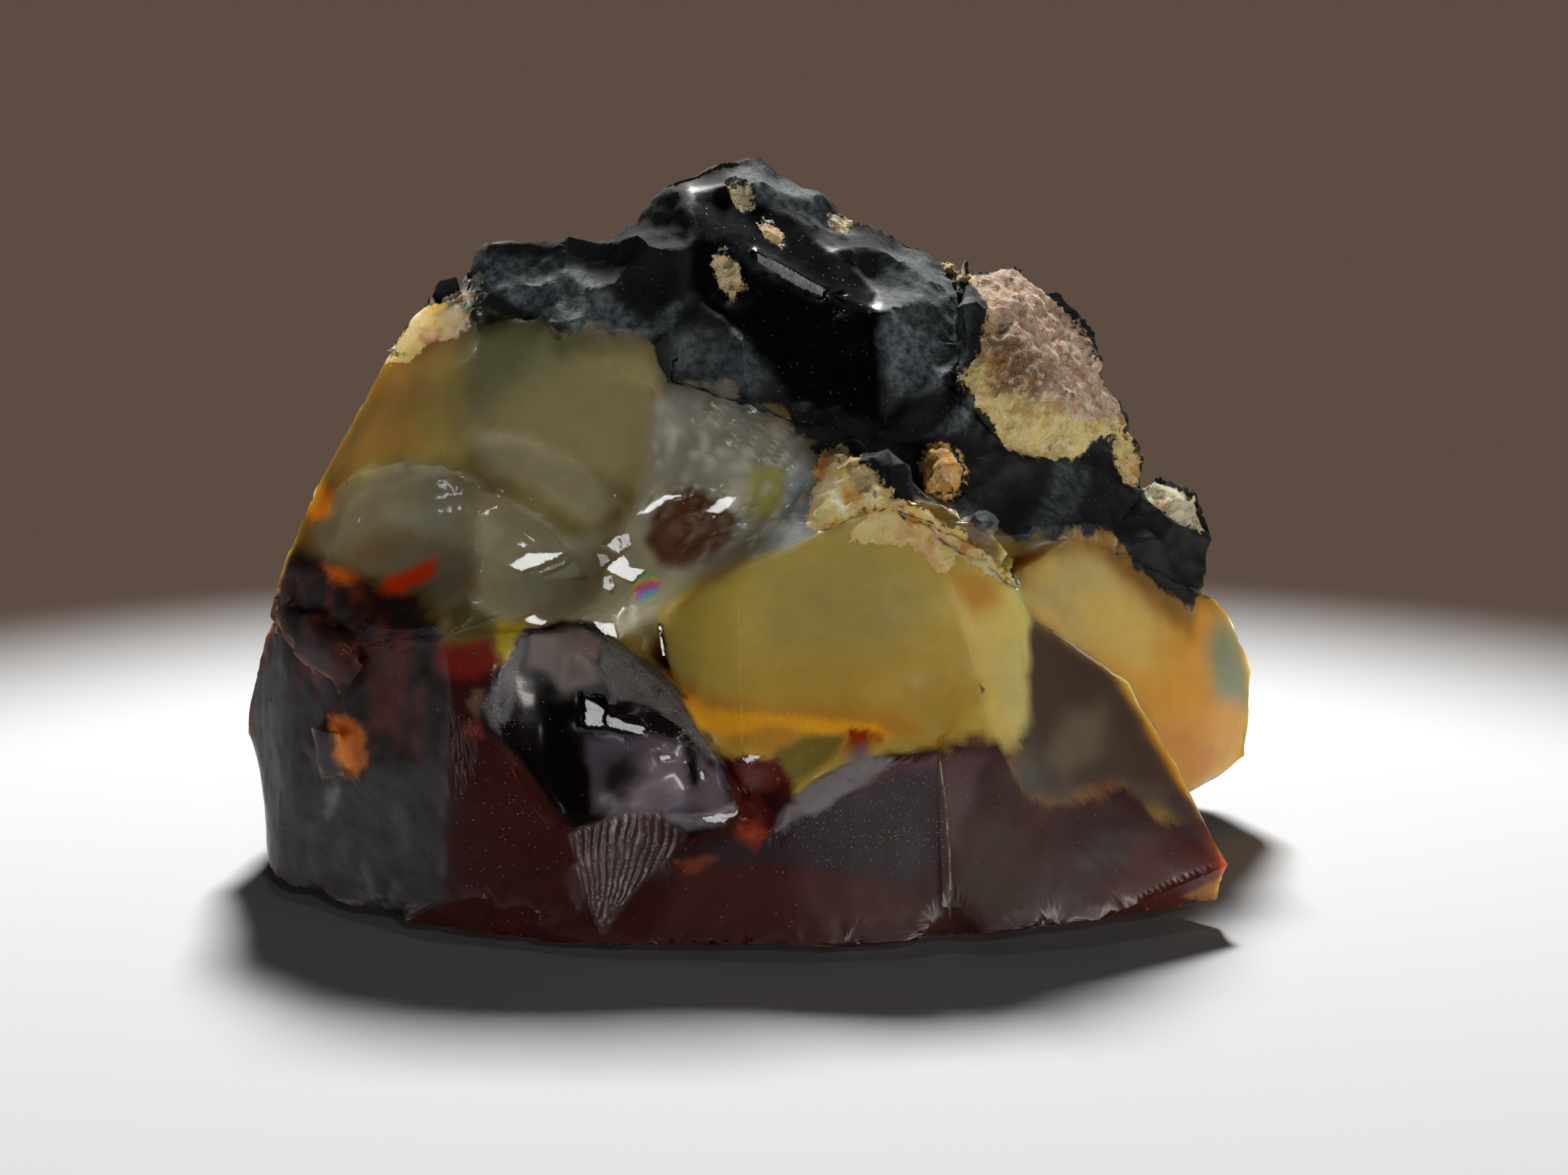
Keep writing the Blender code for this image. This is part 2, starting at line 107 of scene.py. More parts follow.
def welded_copy(node):
    """The node's points in millimetres and its triangles, with shared corners merged."""
    shape = bmesh.new()
    shape.from_mesh(node.data)
    bmesh.ops.remove_doubles(shape, verts=shape.verts[:], dist=WELD)
    bmesh.ops.triangulate(shape, faces=shape.faces[:])
    mesh = bpy.data.meshes.new("welded")
    shape.to_mesh(mesh)
    shape.free()
    points = np.empty(len(mesh.vertices) * 3)
    corners = np.empty(len(mesh.polygons) * 3, dtype=np.int64)
    mesh.vertices.foreach_get("co", points)
    mesh.polygons.foreach_get("vertices", corners)
    bpy.data.meshes.remove(mesh)
    return points.reshape(-1, 3) / MM, corners.reshape(-1, 3)


points, tris = welded_copy(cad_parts[STONE])
print("welded solid:", len(points), "points,", len(tris), "triangles")

# %% Tools for reading a skin
def gather(index, values, count):
    """Adds up rows of values by their index, one total row for each of count places."""
    columns = [np.bincount(index, weights=column, minlength=count) for column in values.T]
    return np.stack(columns, axis=1)


def unit(rows):
    """Each row divided by its own length."""
    return rows / np.maximum(np.linalg.norm(rows, axis=1, keepdims=True), 1e-12)


def edge_table(tris, count):
    """Each edge once, as two point numbers, and the numbers of every triangle's three edges.

    Side k of a triangle joins its corners k and k + 1.
    """
    ends = np.sort(np.stack([tris, np.roll(tris, -1, axis=1)], axis=2), axis=2)
    keys = ends[..., 0] * count + ends[..., 1]
    found, sides = np.unique(keys, return_inverse=True)
    return np.stack([found // count, found % count], axis=1), sides.reshape(keys.shape)


def face_normals(points, tris):
    """Cross product of two sides of each triangle: its direction, as long as twice its area."""
    a, b, c = (points[tris[:, k]] for k in range(3))
    return np.cross(b - a, c - a)


def point_normals(points, tris):
    """The area-weighted mean direction of the triangles round each point."""
    across = np.repeat(face_normals(points, tris), 3, axis=0)
    return unit(gather(tris.ravel(), across, len(points)))


def ease(value, low, high):
    """0 below low, 1 above high, and the smooth curve t * t * (3 - 2 t) between them."""
    t = np.clip((value - low) / (high - low), 0.0, 1.0)
    return t * t * (3.0 - 2.0 * t)

# %% [markdown]
# ## Measuring against an outline
#
# A mark on the drawing is a closed outline of a few corners, written as a drawing file writes
# them: x,y in millimetres, with spaces between the corners. To fade the mark in softly we need to
# know how far each point lies inside it, which is a signed distance: the distance to the nearest
# side, taken as positive when a ray to the right crosses the outline an odd number of times.

# %% Signed distance to an outline
def drawn(outline):
    """The corners of a written outline, one row of x and y for each."""
    return np.array([corner.split(",") for corner in outline.split()], dtype=float)


def inside(outline, u, v):
    """Distance in millimetres from each (u, v) to the outline, positive inside it."""
    corners = drawn(outline)
    nearest = np.full(u.shape, np.inf)
    odd = np.zeros(u.shape, dtype=bool)
    for (x0, y0), (x1, y1) in zip(corners, np.roll(corners, -1, axis=0)):
        run, rise = x1 - x0, y1 - y0
        along = np.clip(((u - x0) * run + (v - y0) * rise) / (run * run + rise * rise), 0, 1)
        nearest = np.minimum(nearest, np.hypot(u - x0 - along * run, v - y0 - along * rise))
        crosses = (y0 > v) != (y1 > v)
        odd ^= crosses & (u < x0 + (v - y0) * run / (rise or 1.0))
    return np.where(odd, nearest, -nearest)


def above(path, u, v):
    """Height in millimetres over a path that runs from left to right."""
    return v - np.interp(u, *drawn(path).T)

# %% [markdown]
# ## Randomness that never changes
#
# Broken surfaces are uneven at every size. Blender has noise functions, but they answer for one
# point at a time. This one works on whole arrays: random values sit on the corners of a grid of
# cubes, and each point takes a smooth blend of the eight corners round it. The "random" value is
# a scramble of the corner's whole-number place, so each run gives the same stone.

# %% Noise on arrays
SCRAMBLE = np.array([73856093, 19349663, 83492791], dtype=np.int64)
GOLDEN = 2654435761
WORD = 0xFFFFFFFF
TEN_BITS = 1023
SEED_STEP = 7.31
RIDGE_GAIN = 2.2
TURN = np.array([[0.8, 0.36, -0.48], [-0.6, 0.48, -0.64], [0.0, 0.8, 0.6]])


def scrambled(corner):
    """A whole number below 2^32 for each grid corner, always the same and seemingly random."""
    key = (corner * SCRAMBLE).sum(axis=1) & WORD
    key = ((key ^ (key >> 15)) * GOLDEN) & WORD
    return ((key ^ (key >> 13)) * GOLDEN) & WORD


def noise(place, size, seed=0.0):
    """Smooth random field from -1 to 1 whose bumps are about this size in millimetres.

    The blend between corners is 6 t^5 - 15 t^4 + 10 t^3, so that no grid lines show. Each seed
    looks at another part of the grid.
    """
    spot = place / size + seed * SEED_STEP
    cell = np.floor(spot).astype(np.int64)
    part = spot - cell
    part = part * part * part * (part * (part * 6.0 - 15.0) + 10.0)
    total = np.zeros(len(place))
    for corner in np.ndindex(2, 2, 2):
        share = np.where(np.array(corner) == 1, part, 1.0 - part).prod(axis=1)
        total += share * (scrambled(cell + corner) / WORD * 2.0 - 1.0)
    return total


def rugged(place, size, seed=0.0, octaves=4):
    """Noise added up over octaves: each is turned, half as large and half as high as the last."""
    total = np.zeros(len(place))
    for step in range(octaves):
        total += noise(place, size, seed + step) / 2.0 ** step
        place = place @ TURN
        size = size / 2.0
    return total / 2.0


def ridged(place, size, seed=0.0, octaves=3):
    """1 - |noise| added up over octaves, from about 0 to 1, which gives sharp crests."""
    total = np.zeros(len(place))
    for step in range(octaves):
        total += (1.0 - RIDGE_GAIN * np.abs(noise(place, size, seed + step))) / 2.0 ** step
        place = place @ TURN
        size = size / 2.0
    return total / 1.75


def scalloped(place, size, seed=0.0):
    """Bowls that meet in sharp ridges, like flake scars, from 0 in a bowl to about 1 on a ridge.

    One point is scattered in each cube of the grid, and the value is the squared distance to the
    nearest of them, in cubes.
    """
    spot = place / size + seed * SEED_STEP
    cell = np.floor(spot).astype(np.int64)
    nearest = np.full(len(place), np.inf)
    for step in np.ndindex(3, 3, 3):
        corner = cell + np.array(step) - 1
        key = scrambled(corner)
        jitter = np.stack([(key >> shift) & TEN_BITS for shift in (0, 10, 20)], axis=1) / TEN_BITS
        nearest = np.minimum(nearest, ((corner + jitter - spot) ** 2).sum(axis=1))
    return nearest

# %% [markdown]
# ## How fine the skin must be
#
# The ribs of the fan lie 0.4 mm apart, so the skin there needs about three edges to each. The back
# has nothing that fine. Spending triangles evenly would waste most of them, so the allowed edge
# length depends on the place: short in the fan and on the ledges, longer in the chip and on the
# crumbly crusts, longer still on the rest of the front, and longest on the back and the foot.

# %% Outlines of the carved places
FAN = (
    "-9.8,-11.1 -9.2,-10.8 -7.2,-10.1 -5.6,-10.2 -4.3,-11.2 -5.2,-12.3 -6.3,-13.3 -7.8,-15.2 "
    "-8.3,-15.8 -9.1,-13.9"
)
CHIP = (
    "-11.8,-2 -10.7,-1.5 -8.6,-1.6 -7.8,-2.3 -5.6,-3.6 -4.3,-5.6 -2.8,-8 -2.1,-10.3 -3.3,-10.7 "
    "-4.4,-11.4 -5.6,-10.3 -7.2,-10.2 -9.2,-11.1 -10.7,-9.6 -11.9,-7.6 -13.6,-6.5 -13.8,-5.4 "
    "-13.6,-4.6 -12.6,-3.4"
)
FLASH = "-12.8,1.9 -8.9,2.2 -6.5,2.9 -5,0.8 -6,-1 -8.6,-0.4 -12,0.2"
CRUSTS = [
    # name, outline
    ("ledge",
     "0.8,2.7 1.3,4.4 1.5,5.8 1.8,6.4 2.3,6.5 3.2,5.9 4.1,5.4 4.6,4.4 5.4,4 6.3,3.5 7.2,3 "
     "8.1,2.6 8.5,2 9.2,1.4 10.2,0.6 10.7,0.1 10.2,0 9.5,0.4 8.8,0.9 8.2,1.4 7.8,1.4 7.4,0.7 "
     "7,0.8 6.3,1.5 5.5,1.9 4.1,2.1 2.8,2 3,2.7 4,3.6 2.9,3.2 1.8,2.6"),
    ("patch", "6,5.5 6.5,6.5 7.2,6.6 7.8,6.1 8.2,5.3 8,4.2 7.3,3.8 6.7,4.1 6.2,4.8"),
    ("lump",
     "7.3,14.4 7.8,15 8.1,14.9 8.4,14.3 10.4,14.4 12,13.9 13,12.7 13.7,11 14.7,9.6 16,7.2 "
     "15.7,6.8 14.4,6.8 13.2,5.9 11.3,5.7 9.9,6.3 9,7.7 8.2,9.1 8.2,9.9 8.9,11 9.2,12.7 "
     "8.4,13.6"),
    ("lump_tail", "14.7,7.2 15.6,7 16.1,5.1 16,4.4 15.3,4.7 14.9,5.8"),
    ("cap", "16.1,4.4 16.6,4.8 17.9,4.5 19.2,3.6 19.3,2.6 18.6,2.5 17.5,3 16.6,3.4"),
    ("corner",
     "-18.3,10.3 -18.1,11.3 -16.7,12.9 -15,14.1 -13.7,14.4 -13.6,12.9 -14.3,11.7 -14.8,11.3 "
     "-16.1,10.9 -16.9,10.2"),
    ("fleck_peak", "-2.8,18 -2.2,18.3 -1.5,17.8 -1.3,17.2 -1.9,16.9 -2.5,17.4"),
    ("fleck_mid", "-1.2,16.5 -0.7,16.6 0.1,15.9 -0.1,15.4 -0.8,15.6"),
    ("fleck_low", "-3.3,15.1 -2.7,15.2 -2,14.4 -1.7,13.5 -2.4,13 -3,13.7"),
    ("fleck_top", "-6,18.7 -5.2,18.9 -5,18.4 -5.7,18.3"),
    ("fleck_tip", "1.9,16.8 2.6,16.9 3.3,16.5 3,15.9 2.3,16.2"),
    ("fleck_spur", "7.1,15.1 8,15.3 8.4,14.4 8.1,13.7 7.3,14.3"),
]
print("crusts of host rock:", len(CRUSTS))

# %% Outlines of the ledges that flash
LEDGES = [
    # name, softness in mm, lean to the right and up in degrees, outline
    ("glint_one", 0.05, 0, 0, "-12.5,1 -11.6,1.6 -11,1.6 -9.8,1.6 -10.4,1.3 -11,1 -11.8,0.7"),
    ("glint_one_bar", 0.04, 1, -1,
     "-11.8,0.5 -11.2,0.7 -10.4,1.1 -9.7,1.3 -9.8,1.1 -10.4,0.8 -11.1,0.6"),
    ("glint_one_side", 0.05, -3, 3, "-10.9,0.5 -10.2,0.8 -9.5,1.2 -8.9,0.4 -9.8,0.4"),
    ("glint_two_top", 0.04, 1, 0, "-8.1,1.9 -7.6,2.3 -7,2.5 -6.9,1.9 -7.5,1.5"),
    ("glint_two_left", 0.04, -1, 1, "-8.5,1.6 -8,1.5 -7.8,1.2 -8.3,0.9"),
    ("glint_two_main", 0.04, 0, 0,
     "-8.1,0.8 -7.6,1.3 -7.2,1.5 -6.9,0.9 -6.2,0.8 -6.6,0.5 -6.8,0.2 -7.5,0.5"),
    ("glint_two_low", 0.04, 0, 1, "-8.2,0.5 -7.8,0.6 -7.6,0.1 -7.8,-0.2 -8.2,0"),
    ("lip_left", 0.1, 0, 0, "-11.8,-1.4 -11.3,-1.2 -10.7,-1.5 -10.9,-1.7 -11.6,-1.6"),
    ("lip_right", 0.06, 0, 0, "-8.7,-1.5 -7.7,-1.6 -7.5,-2.3 -8.1,-2.1"),
    ("sliver", 0.04, 0, 0, "-5.7,-1.6 -5.5,-1.7 -5.4,-2.4 -5.3,-3.1 -5.5,-3.1 -5.6,-2.5"),
    ("saddle_rim_left", 0.12, 0, 0, "-6.6,3.2 -6.1,3.8 -5.3,4.2 -4.1,4.3 -5.3,3.9 -6,3.4"),
    ("saddle_rim_right", 0.12, 0, 0, "-3.6,3.4 -2.9,4 -2.1,4.2 -2.4,3.7 -2.9,3.3"),
    ("chip_ledge_left", 0.06, 0, 0, "-9,-4.9 -8.2,-4.9 -8,-5.6 -7.8,-6.3 -8.9,-6.3"),
    ("chip_ledge_mid", 0.08, 0, 0, "-7.8,-5.7 -6.5,-6 -6.2,-6.4 -6.3,-6.7 -7.1,-6.5 -7.8,-6.3"),
    ("chip_ledge_right", 0.15, 3, 4, "-6.2,-5.6 -5,-5.7 -4.3,-6.3 -5,-6.7 -6,-6.5"),
    ("chip_flute", 0.04, 0, 0, "-9.3,-4.8 -9.2,-4.8 -9.1,-6.2 -9.2,-6.2"),
    ("chip_spot", 0.1, 0, 0, "-5.9,-7.4 -5.3,-7.4 -5,-7.6 -5.7,-7.7"),
    ("chip_spot_low", 0.1, 0, 0, "-3.8,-8.1 -3.5,-8.2 -3.4,-8.7 -3.7,-8.7"),
    ("chip_lip", 0.12, 0, 0, "-3.8,-10.6 -2.9,-10.3 -2.1,-10 -2.1,-10.3 -2.9,-10.7"),
    ("crest_band", 0.2, 0, 0, "-1.3,15.2 0.2,14.5 1.9,13.5 1.7,13.1 0.4,13.7 -1.2,14.7"),
    ("notch_spark", 0.04, 0, 0, "-1.9,-7.7 -1.6,-7.5 -0.8,-7.6 -1.2,-7.8 -1.7,-8"),
]
print("ledges:", len(LEDGES))

# %% The longest edge by place
FINE_PLACES = [
    # outlines, how far past them in mm, longest edge in mm
    ([outline for _name, outline in CRUSTS], 0.3, 0.30),
    ([CHIP], 0.3, 0.28),
    ([FLASH], 0.1, 0.28),
    ([FAN], 0.3, 0.14),
    ([row[-1] for row in LEDGES], 0.15, 0.15),
]
FINE_FRONT = 0.5
FINE_BACK = 1.1


def allowed(points, normals):
    """The longest edge allowed at each point, in millimetres."""
    u, v = front_view(points)
    seen = (normals * unit(EYE - points)).sum(axis=1)
    limit = FINE_BACK + (FINE_FRONT - FINE_BACK) * ease(seen, -0.15, 0.05)
    front = seen > 0.0
    for outlines, past, longest in FINE_PLACES:
        for outline in outlines:
            limit[front & (inside(outline, u, v) > -past)] = longest
    return limit


print("longest edges, mm:", sorted({row[-1] for row in FINE_PLACES} | {FINE_FRONT, FINE_BACK}))

# %% Split what is too long
ROUNDS = 14
MARK_ROUNDS = 6


def turned(rows, steps):
    """Each row of three rolled left by its own number of steps."""
    return np.take_along_axis(rows, (np.arange(3) + steps[:, None]) % 3, axis=1)


def split_once(points, tris, too_long):
    """Halves the marked edges and cuts each triangle by how many of its edges are halved.

    Before that, a triangle with a marked edge also marks its longest one, so that no triangle
    becomes thinner and thinner.
    """
    pairs, sides = edge_table(tris, len(points))
    length = np.linalg.norm(points[pairs[:, 0]] - points[pairs[:, 1]], axis=1)
    marked = too_long(pairs, length)
    if not marked.any():
        return points, tris, False
    longest = np.take_along_axis(sides, length[sides].argmax(axis=1)[:, None], axis=1)[:, 0]
    for _ in range(MARK_ROUNDS):
        marked[longest[marked[sides].any(axis=1)]] = True
    middle = np.full(len(pairs), -1, dtype=np.int64)
    middle[marked] = len(points) + np.arange(marked.sum())
    points = np.concatenate([points, points[pairs[marked]].mean(axis=1)])
    halves = middle[sides]
    count = (halves >= 0).sum(axis=1)

    one = count == 1
    steps = (halves[one] >= 0).argmax(axis=1)
    a, b, c = turned(tris[one], steps).T
    p = turned(halves[one], steps)[:, 0]
    cuts = [(a, p, c), (p, b, c)]

    two = count == 2
    steps = ((halves[two] < 0).argmax(axis=1) + 1) % 3
    a, b, c = turned(tris[two], steps).T
    p, q = turned(halves[two], steps)[:, :2].T
    cuts += [(p, b, q)]
    near = (np.linalg.norm(points[a] - points[q], axis=1)
            < np.linalg.norm(points[p] - points[c], axis=1))
    cuts += [[ends[near] for ends in cut] for cut in ((a, p, q), (a, q, c))]
    cuts += [[ends[~near] for ends in cut] for cut in ((a, p, c), (p, q, c))]

    three = count == 3
    a, b, c = tris[three].T
    p, q, r = halves[three].T
    cuts += [(a, p, r), (p, b, q), (r, q, c), (p, q, r)]
    whole = tris[count == 0]
    return points, np.concatenate([whole] + [np.stack(cut, axis=1) for cut in cuts]), True


def over_limit(pairs, length):
    """True for edges longer than the smaller of the limits at their two ends."""
    limit = allowed(points, point_normals(points, tris))
    return length > limit[pairs].min(axis=1)


for _ in range(ROUNDS):
    points, tris, changed = split_once(points, tris, over_limit)
    if not changed:
        break
print("fine skin:", len(points), "points,", len(tris), "triangles")

# %% [markdown]
# ## Sharp edges stay, faceted curves go
#
# The solid gives a curved scar as a set of flats. Where two flats meet at a gentle angle, the real
# stone is simply curved, so those points are eased towards the mean of their neighbours. Where
# they meet at more than CREASE degrees and stick out, the stone has a real edge: a point on it
# only slides along the edge, and a corner where three edges meet stays where it is. Valleys are
# eased like the gentle bends, because broken stone has no sharp inner corners.

# %% Find the creases and relax the rest
CREASE = 24.0
RELAX_ROUNDS = 26
SLIDE = 0.3
FOOT = 0.02


def creased(points, tris, pairs, sides, degrees):
    """True for edges that stick out and whose two faces turn by more than this angle.

    The two face directions added up are the shorter the more they differ. On an edge that sticks
    out, the faces' middles lie behind the edge, measured along that sum.
    """
    flat = np.repeat(unit(face_normals(points, tris)), 3, axis=0)
    total = gather(sides.ravel(), flat, len(pairs))
    middles = np.repeat(points[tris].mean(axis=1), 3, axis=0)
    behind = gather(sides.ravel(), middles, len(pairs)) - 2.0 * points[pairs].mean(axis=1)
    turns = np.linalg.norm(total, axis=1) / 2.0 < math.cos(math.radians(degrees) / 2.0)
    return turns & ((total * behind).sum(axis=1) < 0.0)


def neighbour_mean(points, pairs):
    """For each point, the mean of the points it shares one of these edges with."""
    ends = np.concatenate([pairs, pairs[:, ::-1]])
    many = np.bincount(ends[:, 0], minlength=len(points))
    total = gather(ends[:, 0], points[ends[:, 1]], len(points))
    return total / np.maximum(many, 1)[:, None]


pairs, sides = edge_table(tris, len(points))
crease = creased(points, tris, pairs, sides, CREASE)
crease_ends = np.bincount(pairs[crease].ravel(), minlength=len(points))
resting = points[:, 2] < FOOT
for _ in range(RELAX_ROUNDS):
    mean = neighbour_mean(points, pairs)
    along = neighbour_mean(points, pairs[crease])
    moved = np.where((crease_ends == 0)[:, None], mean, points)
    slid = (1.0 - SLIDE) * points + SLIDE * along
    moved = np.where((crease_ends == 2)[:, None], slid, moved)
    points = np.where(resting[:, None], points, moved)
print("crease edges:", int(crease.sum()), "of", len(pairs))

# %% [markdown]
# ## The bands of the stone
#
# Three borders run through the whole lump like the layers of a cake: the top of the maroon band,
# the foot of the black seam, and the host rock. On the front they follow paths on the drawing. On
# the back nothing is drawn, so the same layers are given as heights that fall from left to right.
# A point takes the front's value as far as it faces the eye, and the back's value beyond that.
# Nature draws no straight borders, so marks are looked up at places that wander a little.

# %% Where every point lies
normals = point_normals(points, tris)
u, v = front_view(points)
facing = (normals * unit(EYE - points)).sum(axis=1)
front = ease(facing, -0.05, 0.2)
x, y, z = points.T
WANDER = [(0.16, 0.9), (0.05, 0.35)]
wander_u, wander_v = u, v
for seed, (height, size) in enumerate(WANDER, 11):
    wander_u = wander_u + height * noise(points, size, seed)
    wander_v = wander_v + height * noise(points, size, seed + len(WANDER))
print("points that face the eye:", int((front > 0.5).sum()))

# %% The black seam, the maroon band and the host rock
MAROON_TOP = (
    "-25.1,0.9 -21.6,1 -20.2,-0.1 -18.3,-0.3 -16.7,-0.2 -15.3,-2.2 -12.9,-3.6 -11.8,-2.3 "
    "-9.8,-1.9 -7.8,-2.4 -5.6,-3.6 -4.3,-5.7 -2.8,-7.6 -1.7,-7.5 -0.7,-7.9 0.6,-9.6 1.6,-8.7 "
    "2.6,-8.1 3.6,-7.7 5.6,-7.3 7.7,-6.9 9.5,-6.7 10.2,-8 10.9,-9.4 12.8,-9.8 13.7,-9.3 14.9,-8.8 "
    "16.1,-9.6 17.2,-10.7 18.5,-10.5 21.3,-10.3"
)
BLACK_FOOT = (
    "-16.7,13.4 -14.5,12.7 -14,12.3 -10.8,12.2 -10.1,11.4 -8.8,11.9 -7.6,11.6 -6.2,11.4 -5.8,10.5 "
    "-5.3,9.2 -4.3,9.3 -3.1,9 -2.2,9.2 -1.7,8.1 -0.8,8.2 0.1,8.3 0.4,7.1 1.8,5.9 3.3,4.4 4.7,4.1 "
    "6.1,4 7.2,3.9 8.4,3.3 9.2,2.6 11,2.2 13.1,2.3 14.4,2.5 15.3,1.7 16.3,0.6 17.3,-0.3 18.3,-1 "
    "18.9,-0.4 21.3,0.3"
)
MAROON_HEIGHT = "-24,13.5 -12,10.5 0,6.5 12,5 24,4"
BLACK_HEIGHT = "-24,23 -12,23.5 0,19.5 10,16.5 17,14 24,11"
BORDER_WAVES = 1.6
BORDER_REACH = 3.0
BLACK_EDGE, BLACK_EDGE_BEHIND = 0.65, 1.2
CRUST_EDGE, CRUST_EDGE_FINE = 1.2, 1.5
CRUST_DEPTH = 0.9
BEHIND_FROM = 2.0
ROCKS_BEHIND = [
    # centre, half widths
    ((7.5, 11.5, 21.5), (7.5, 4.5, 7.0)),
    ((-12.5, 13.0, 6.0), (6.0, 4.0, 5.0)),
    ((-2.0, 15.5, 13.0), (2.5, 2.5, 2.0)),
    ((17.0, 9.5, 6.5), (4.0, 4.0, 3.0)),
    ((-15.0, 5.5, 19.5), (2.5, 3.5, 3.5)),
]


def height_over(path, x, z):
    """Height over a border that is given as heights along x, made uneven by slow noise."""
    return above(path, x, z) + BORDER_WAVES * rugged(points, 5.0, 21)


maroon = -above(MAROON_TOP, wander_u, wander_v)
maroon = front * maroon - (1.0 - front) * height_over(MAROON_HEIGHT, x, z)
black = front * above(BLACK_FOOT, u, v) + (1.0 - front) * height_over(BLACK_HEIGHT, x, z)
black += BLACK_EDGE * rugged(points, 1.1, 22)
black += (1.0 - front) * BLACK_EDGE_BEHIND * rugged(points, 2.2, 25)
rock = np.full(len(points), -BORDER_REACH)
for _name, outline in CRUSTS:
    drawn_depth = inside(outline, wander_u, wander_v)
    rock = np.maximum(rock, np.where(facing > -0.1, drawn_depth, -BORDER_REACH))
torn_off = CRUST_EDGE * rugged(points, 5.0, 23) + CRUST_EDGE_FINE * rugged(points, 1.9, 24)
for centre, radii in ROCKS_BEHIND:
    depth = (1.0 - np.linalg.norm((points - centre) / np.array(radii), axis=1)) * min(radii)
    torn_depth = np.minimum(depth, CRUST_DEPTH) + torn_off
    rock = np.maximum(rock, np.where(y > BEHIND_FROM, torn_depth, -BORDER_REACH))
rock, black = (np.clip(field, -BORDER_REACH, BORDER_REACH) for field in (rock, black))
in_rock = ease(rock, -0.1, 0.2)
in_black = ease(black, -0.2, 0.3) * (1.0 - in_rock)
print("points on rock, black, maroon:", [int((f > 0).sum()) for f in (rock, black, maroon)])

# %% [markdown]
# ## Carving what is finer than the solid
#
# A sculptor would now go over the skin with small tools. We do the same with numbers: each tool is
# a height in millimetres at every point, and at the end all heights are added and pushed out along
# the surface. First come the slow waves that no broken glassy surface is free of, then the marks
# of the blow: rings round the point that was struck, a fan of ribs, and the lumps in the chip.

# %% Slow waves and rings round the blow
STRUCK = (-14.36, -1.54)
RINGS = [
    # centre, radius, height in mm, from and to in degrees
    (STRUCK, 5.85, 0.16, 35.0, 88.0),
    (STRUCK, 8.65, 0.10, 32.0, 92.0),
    ((-16.75, 1.30), 4.36, 0.16, 48.0, 150.0),
    ((-15.1, -0.9), 1.0, 0.10, -180.0, 180.0),
]
RING_WIDTH = 0.16
RING_FADE = 4.0
GLASSY_SCARS = "-21,2.5 -17,6 -12,6.5 -6.5,4.5 -5,1 -8,-2 -14,-1 -20,0.5"
RIPPLE_HEIGHT = 0.018
RIPPLE_SPACING = 0.85
SLOW_WAVES, QUICK_WAVES = 0.10, 0.025
in_chip = front * ease(inside(CHIP, u, v), 0.0, 0.3)
lift = SLOW_WAVES * rugged(points, 5.0, 31)
lift += QUICK_WAVES * rugged(points, 1.3, 32, 3) * (1.0 - 0.8 * in_chip)
for (ring_u, ring_v), radius, height, start, end in RINGS:
    away = np.hypot(u - ring_u, v - ring_v)
    angle = np.degrees(np.arctan2(v - ring_v, u - ring_u))
    sector = ease(angle, start - RING_FADE, start + RING_FADE)
    sector *= 1.0 - ease(angle, end - RING_FADE, end + RING_FADE)
    lift += front * sector * height * np.exp(-((away - radius) / RING_WIDTH) ** 2)
away = np.hypot(u - STRUCK[0], v - STRUCK[1])
ripples = RIPPLE_HEIGHT * np.sin(away * 2 * math.pi / RIPPLE_SPACING)
lift += front * ease(inside(GLASSY_SCARS, u, v), 0, 0.6) * ripples
print("rings are at most", max(ring[2] for ring in RINGS), "mm high")

# %% The fan of ribs
FAN_ROOT = (-8.27, -15.7)
FAN_TOP = -10.6
RIB_SPACING = 0.41
RIB_HEIGHT = 0.11
FAN_CLOSING = 1.8
RIB_WOBBLE = 0.10
down = np.clip((FAN_TOP - v) / (FAN_TOP - FAN_ROOT[1]), 0.0, 0.97)
closing = down ** FAN_CLOSING
at_top = (u - FAN_ROOT[0] * closing) / (1.0 - closing)
at_top += RIB_WOBBLE * noise(points * [1.0, 1.0, 0.5], 0.45, 41)
at_top += RIB_WOBBLE * noise(points, 1.1, 42)
rib = 1.0 - 2.0 * np.abs(np.sin(at_top * math.pi / RIB_SPACING))
in_fan = front * ease(inside(FAN, u, v), 0.0, 0.3)
lift += in_fan * RIB_HEIGHT * rib * (1.0 - 0.5 * closing)
print("ribs across the fan:", int(np.ptp(drawn(FAN)[:, 0]) / RIB_SPACING))

# %% Lumps, pits and flutes in the chip
CHIP_LUMPS = [
    # place on the drawing, half widths, height
    ((-5.8, -8.6), (1.5, 1.3), 0.60),
    ((-3.5, -9.2), (0.9, 1.2), 0.35),
    ((-7.8, -9.3), (0.9, 1.1), 0.30),
    ((-4.3, -8.0), (0.3, 0.8), -0.40),
    ((-7.5, -6.0), (1.6, 0.45), 0.45),
    ((-11.0, -6.7), (1.3, 2.4), -0.45),
    ((-9.6, -3.2), (1.3, 1.0), 0.25),
    ((-9.2, -5.5), (0.10, 0.8), 0.12),
    ((-8.9, -5.6), (0.10, 0.8), 0.12),
    ((-10.0, -3.9), (0.12, 0.7), 0.10),
    ((-9.3, -3.3), (0.12, 0.5), 0.10),
    ((-3.9, -10.35), (1.5, 0.2), 0.25),
]
for (lump_u, lump_v), (half_u, half_v), height in CHIP_LUMPS:
    squared = ((wander_u - lump_u) / half_u) ** 2 + ((wander_v - lump_v) / half_v) ** 2
    lift += in_chip * height * np.exp(-squared)
print("lumps and pits in the chip:", len(CHIP_LUMPS))

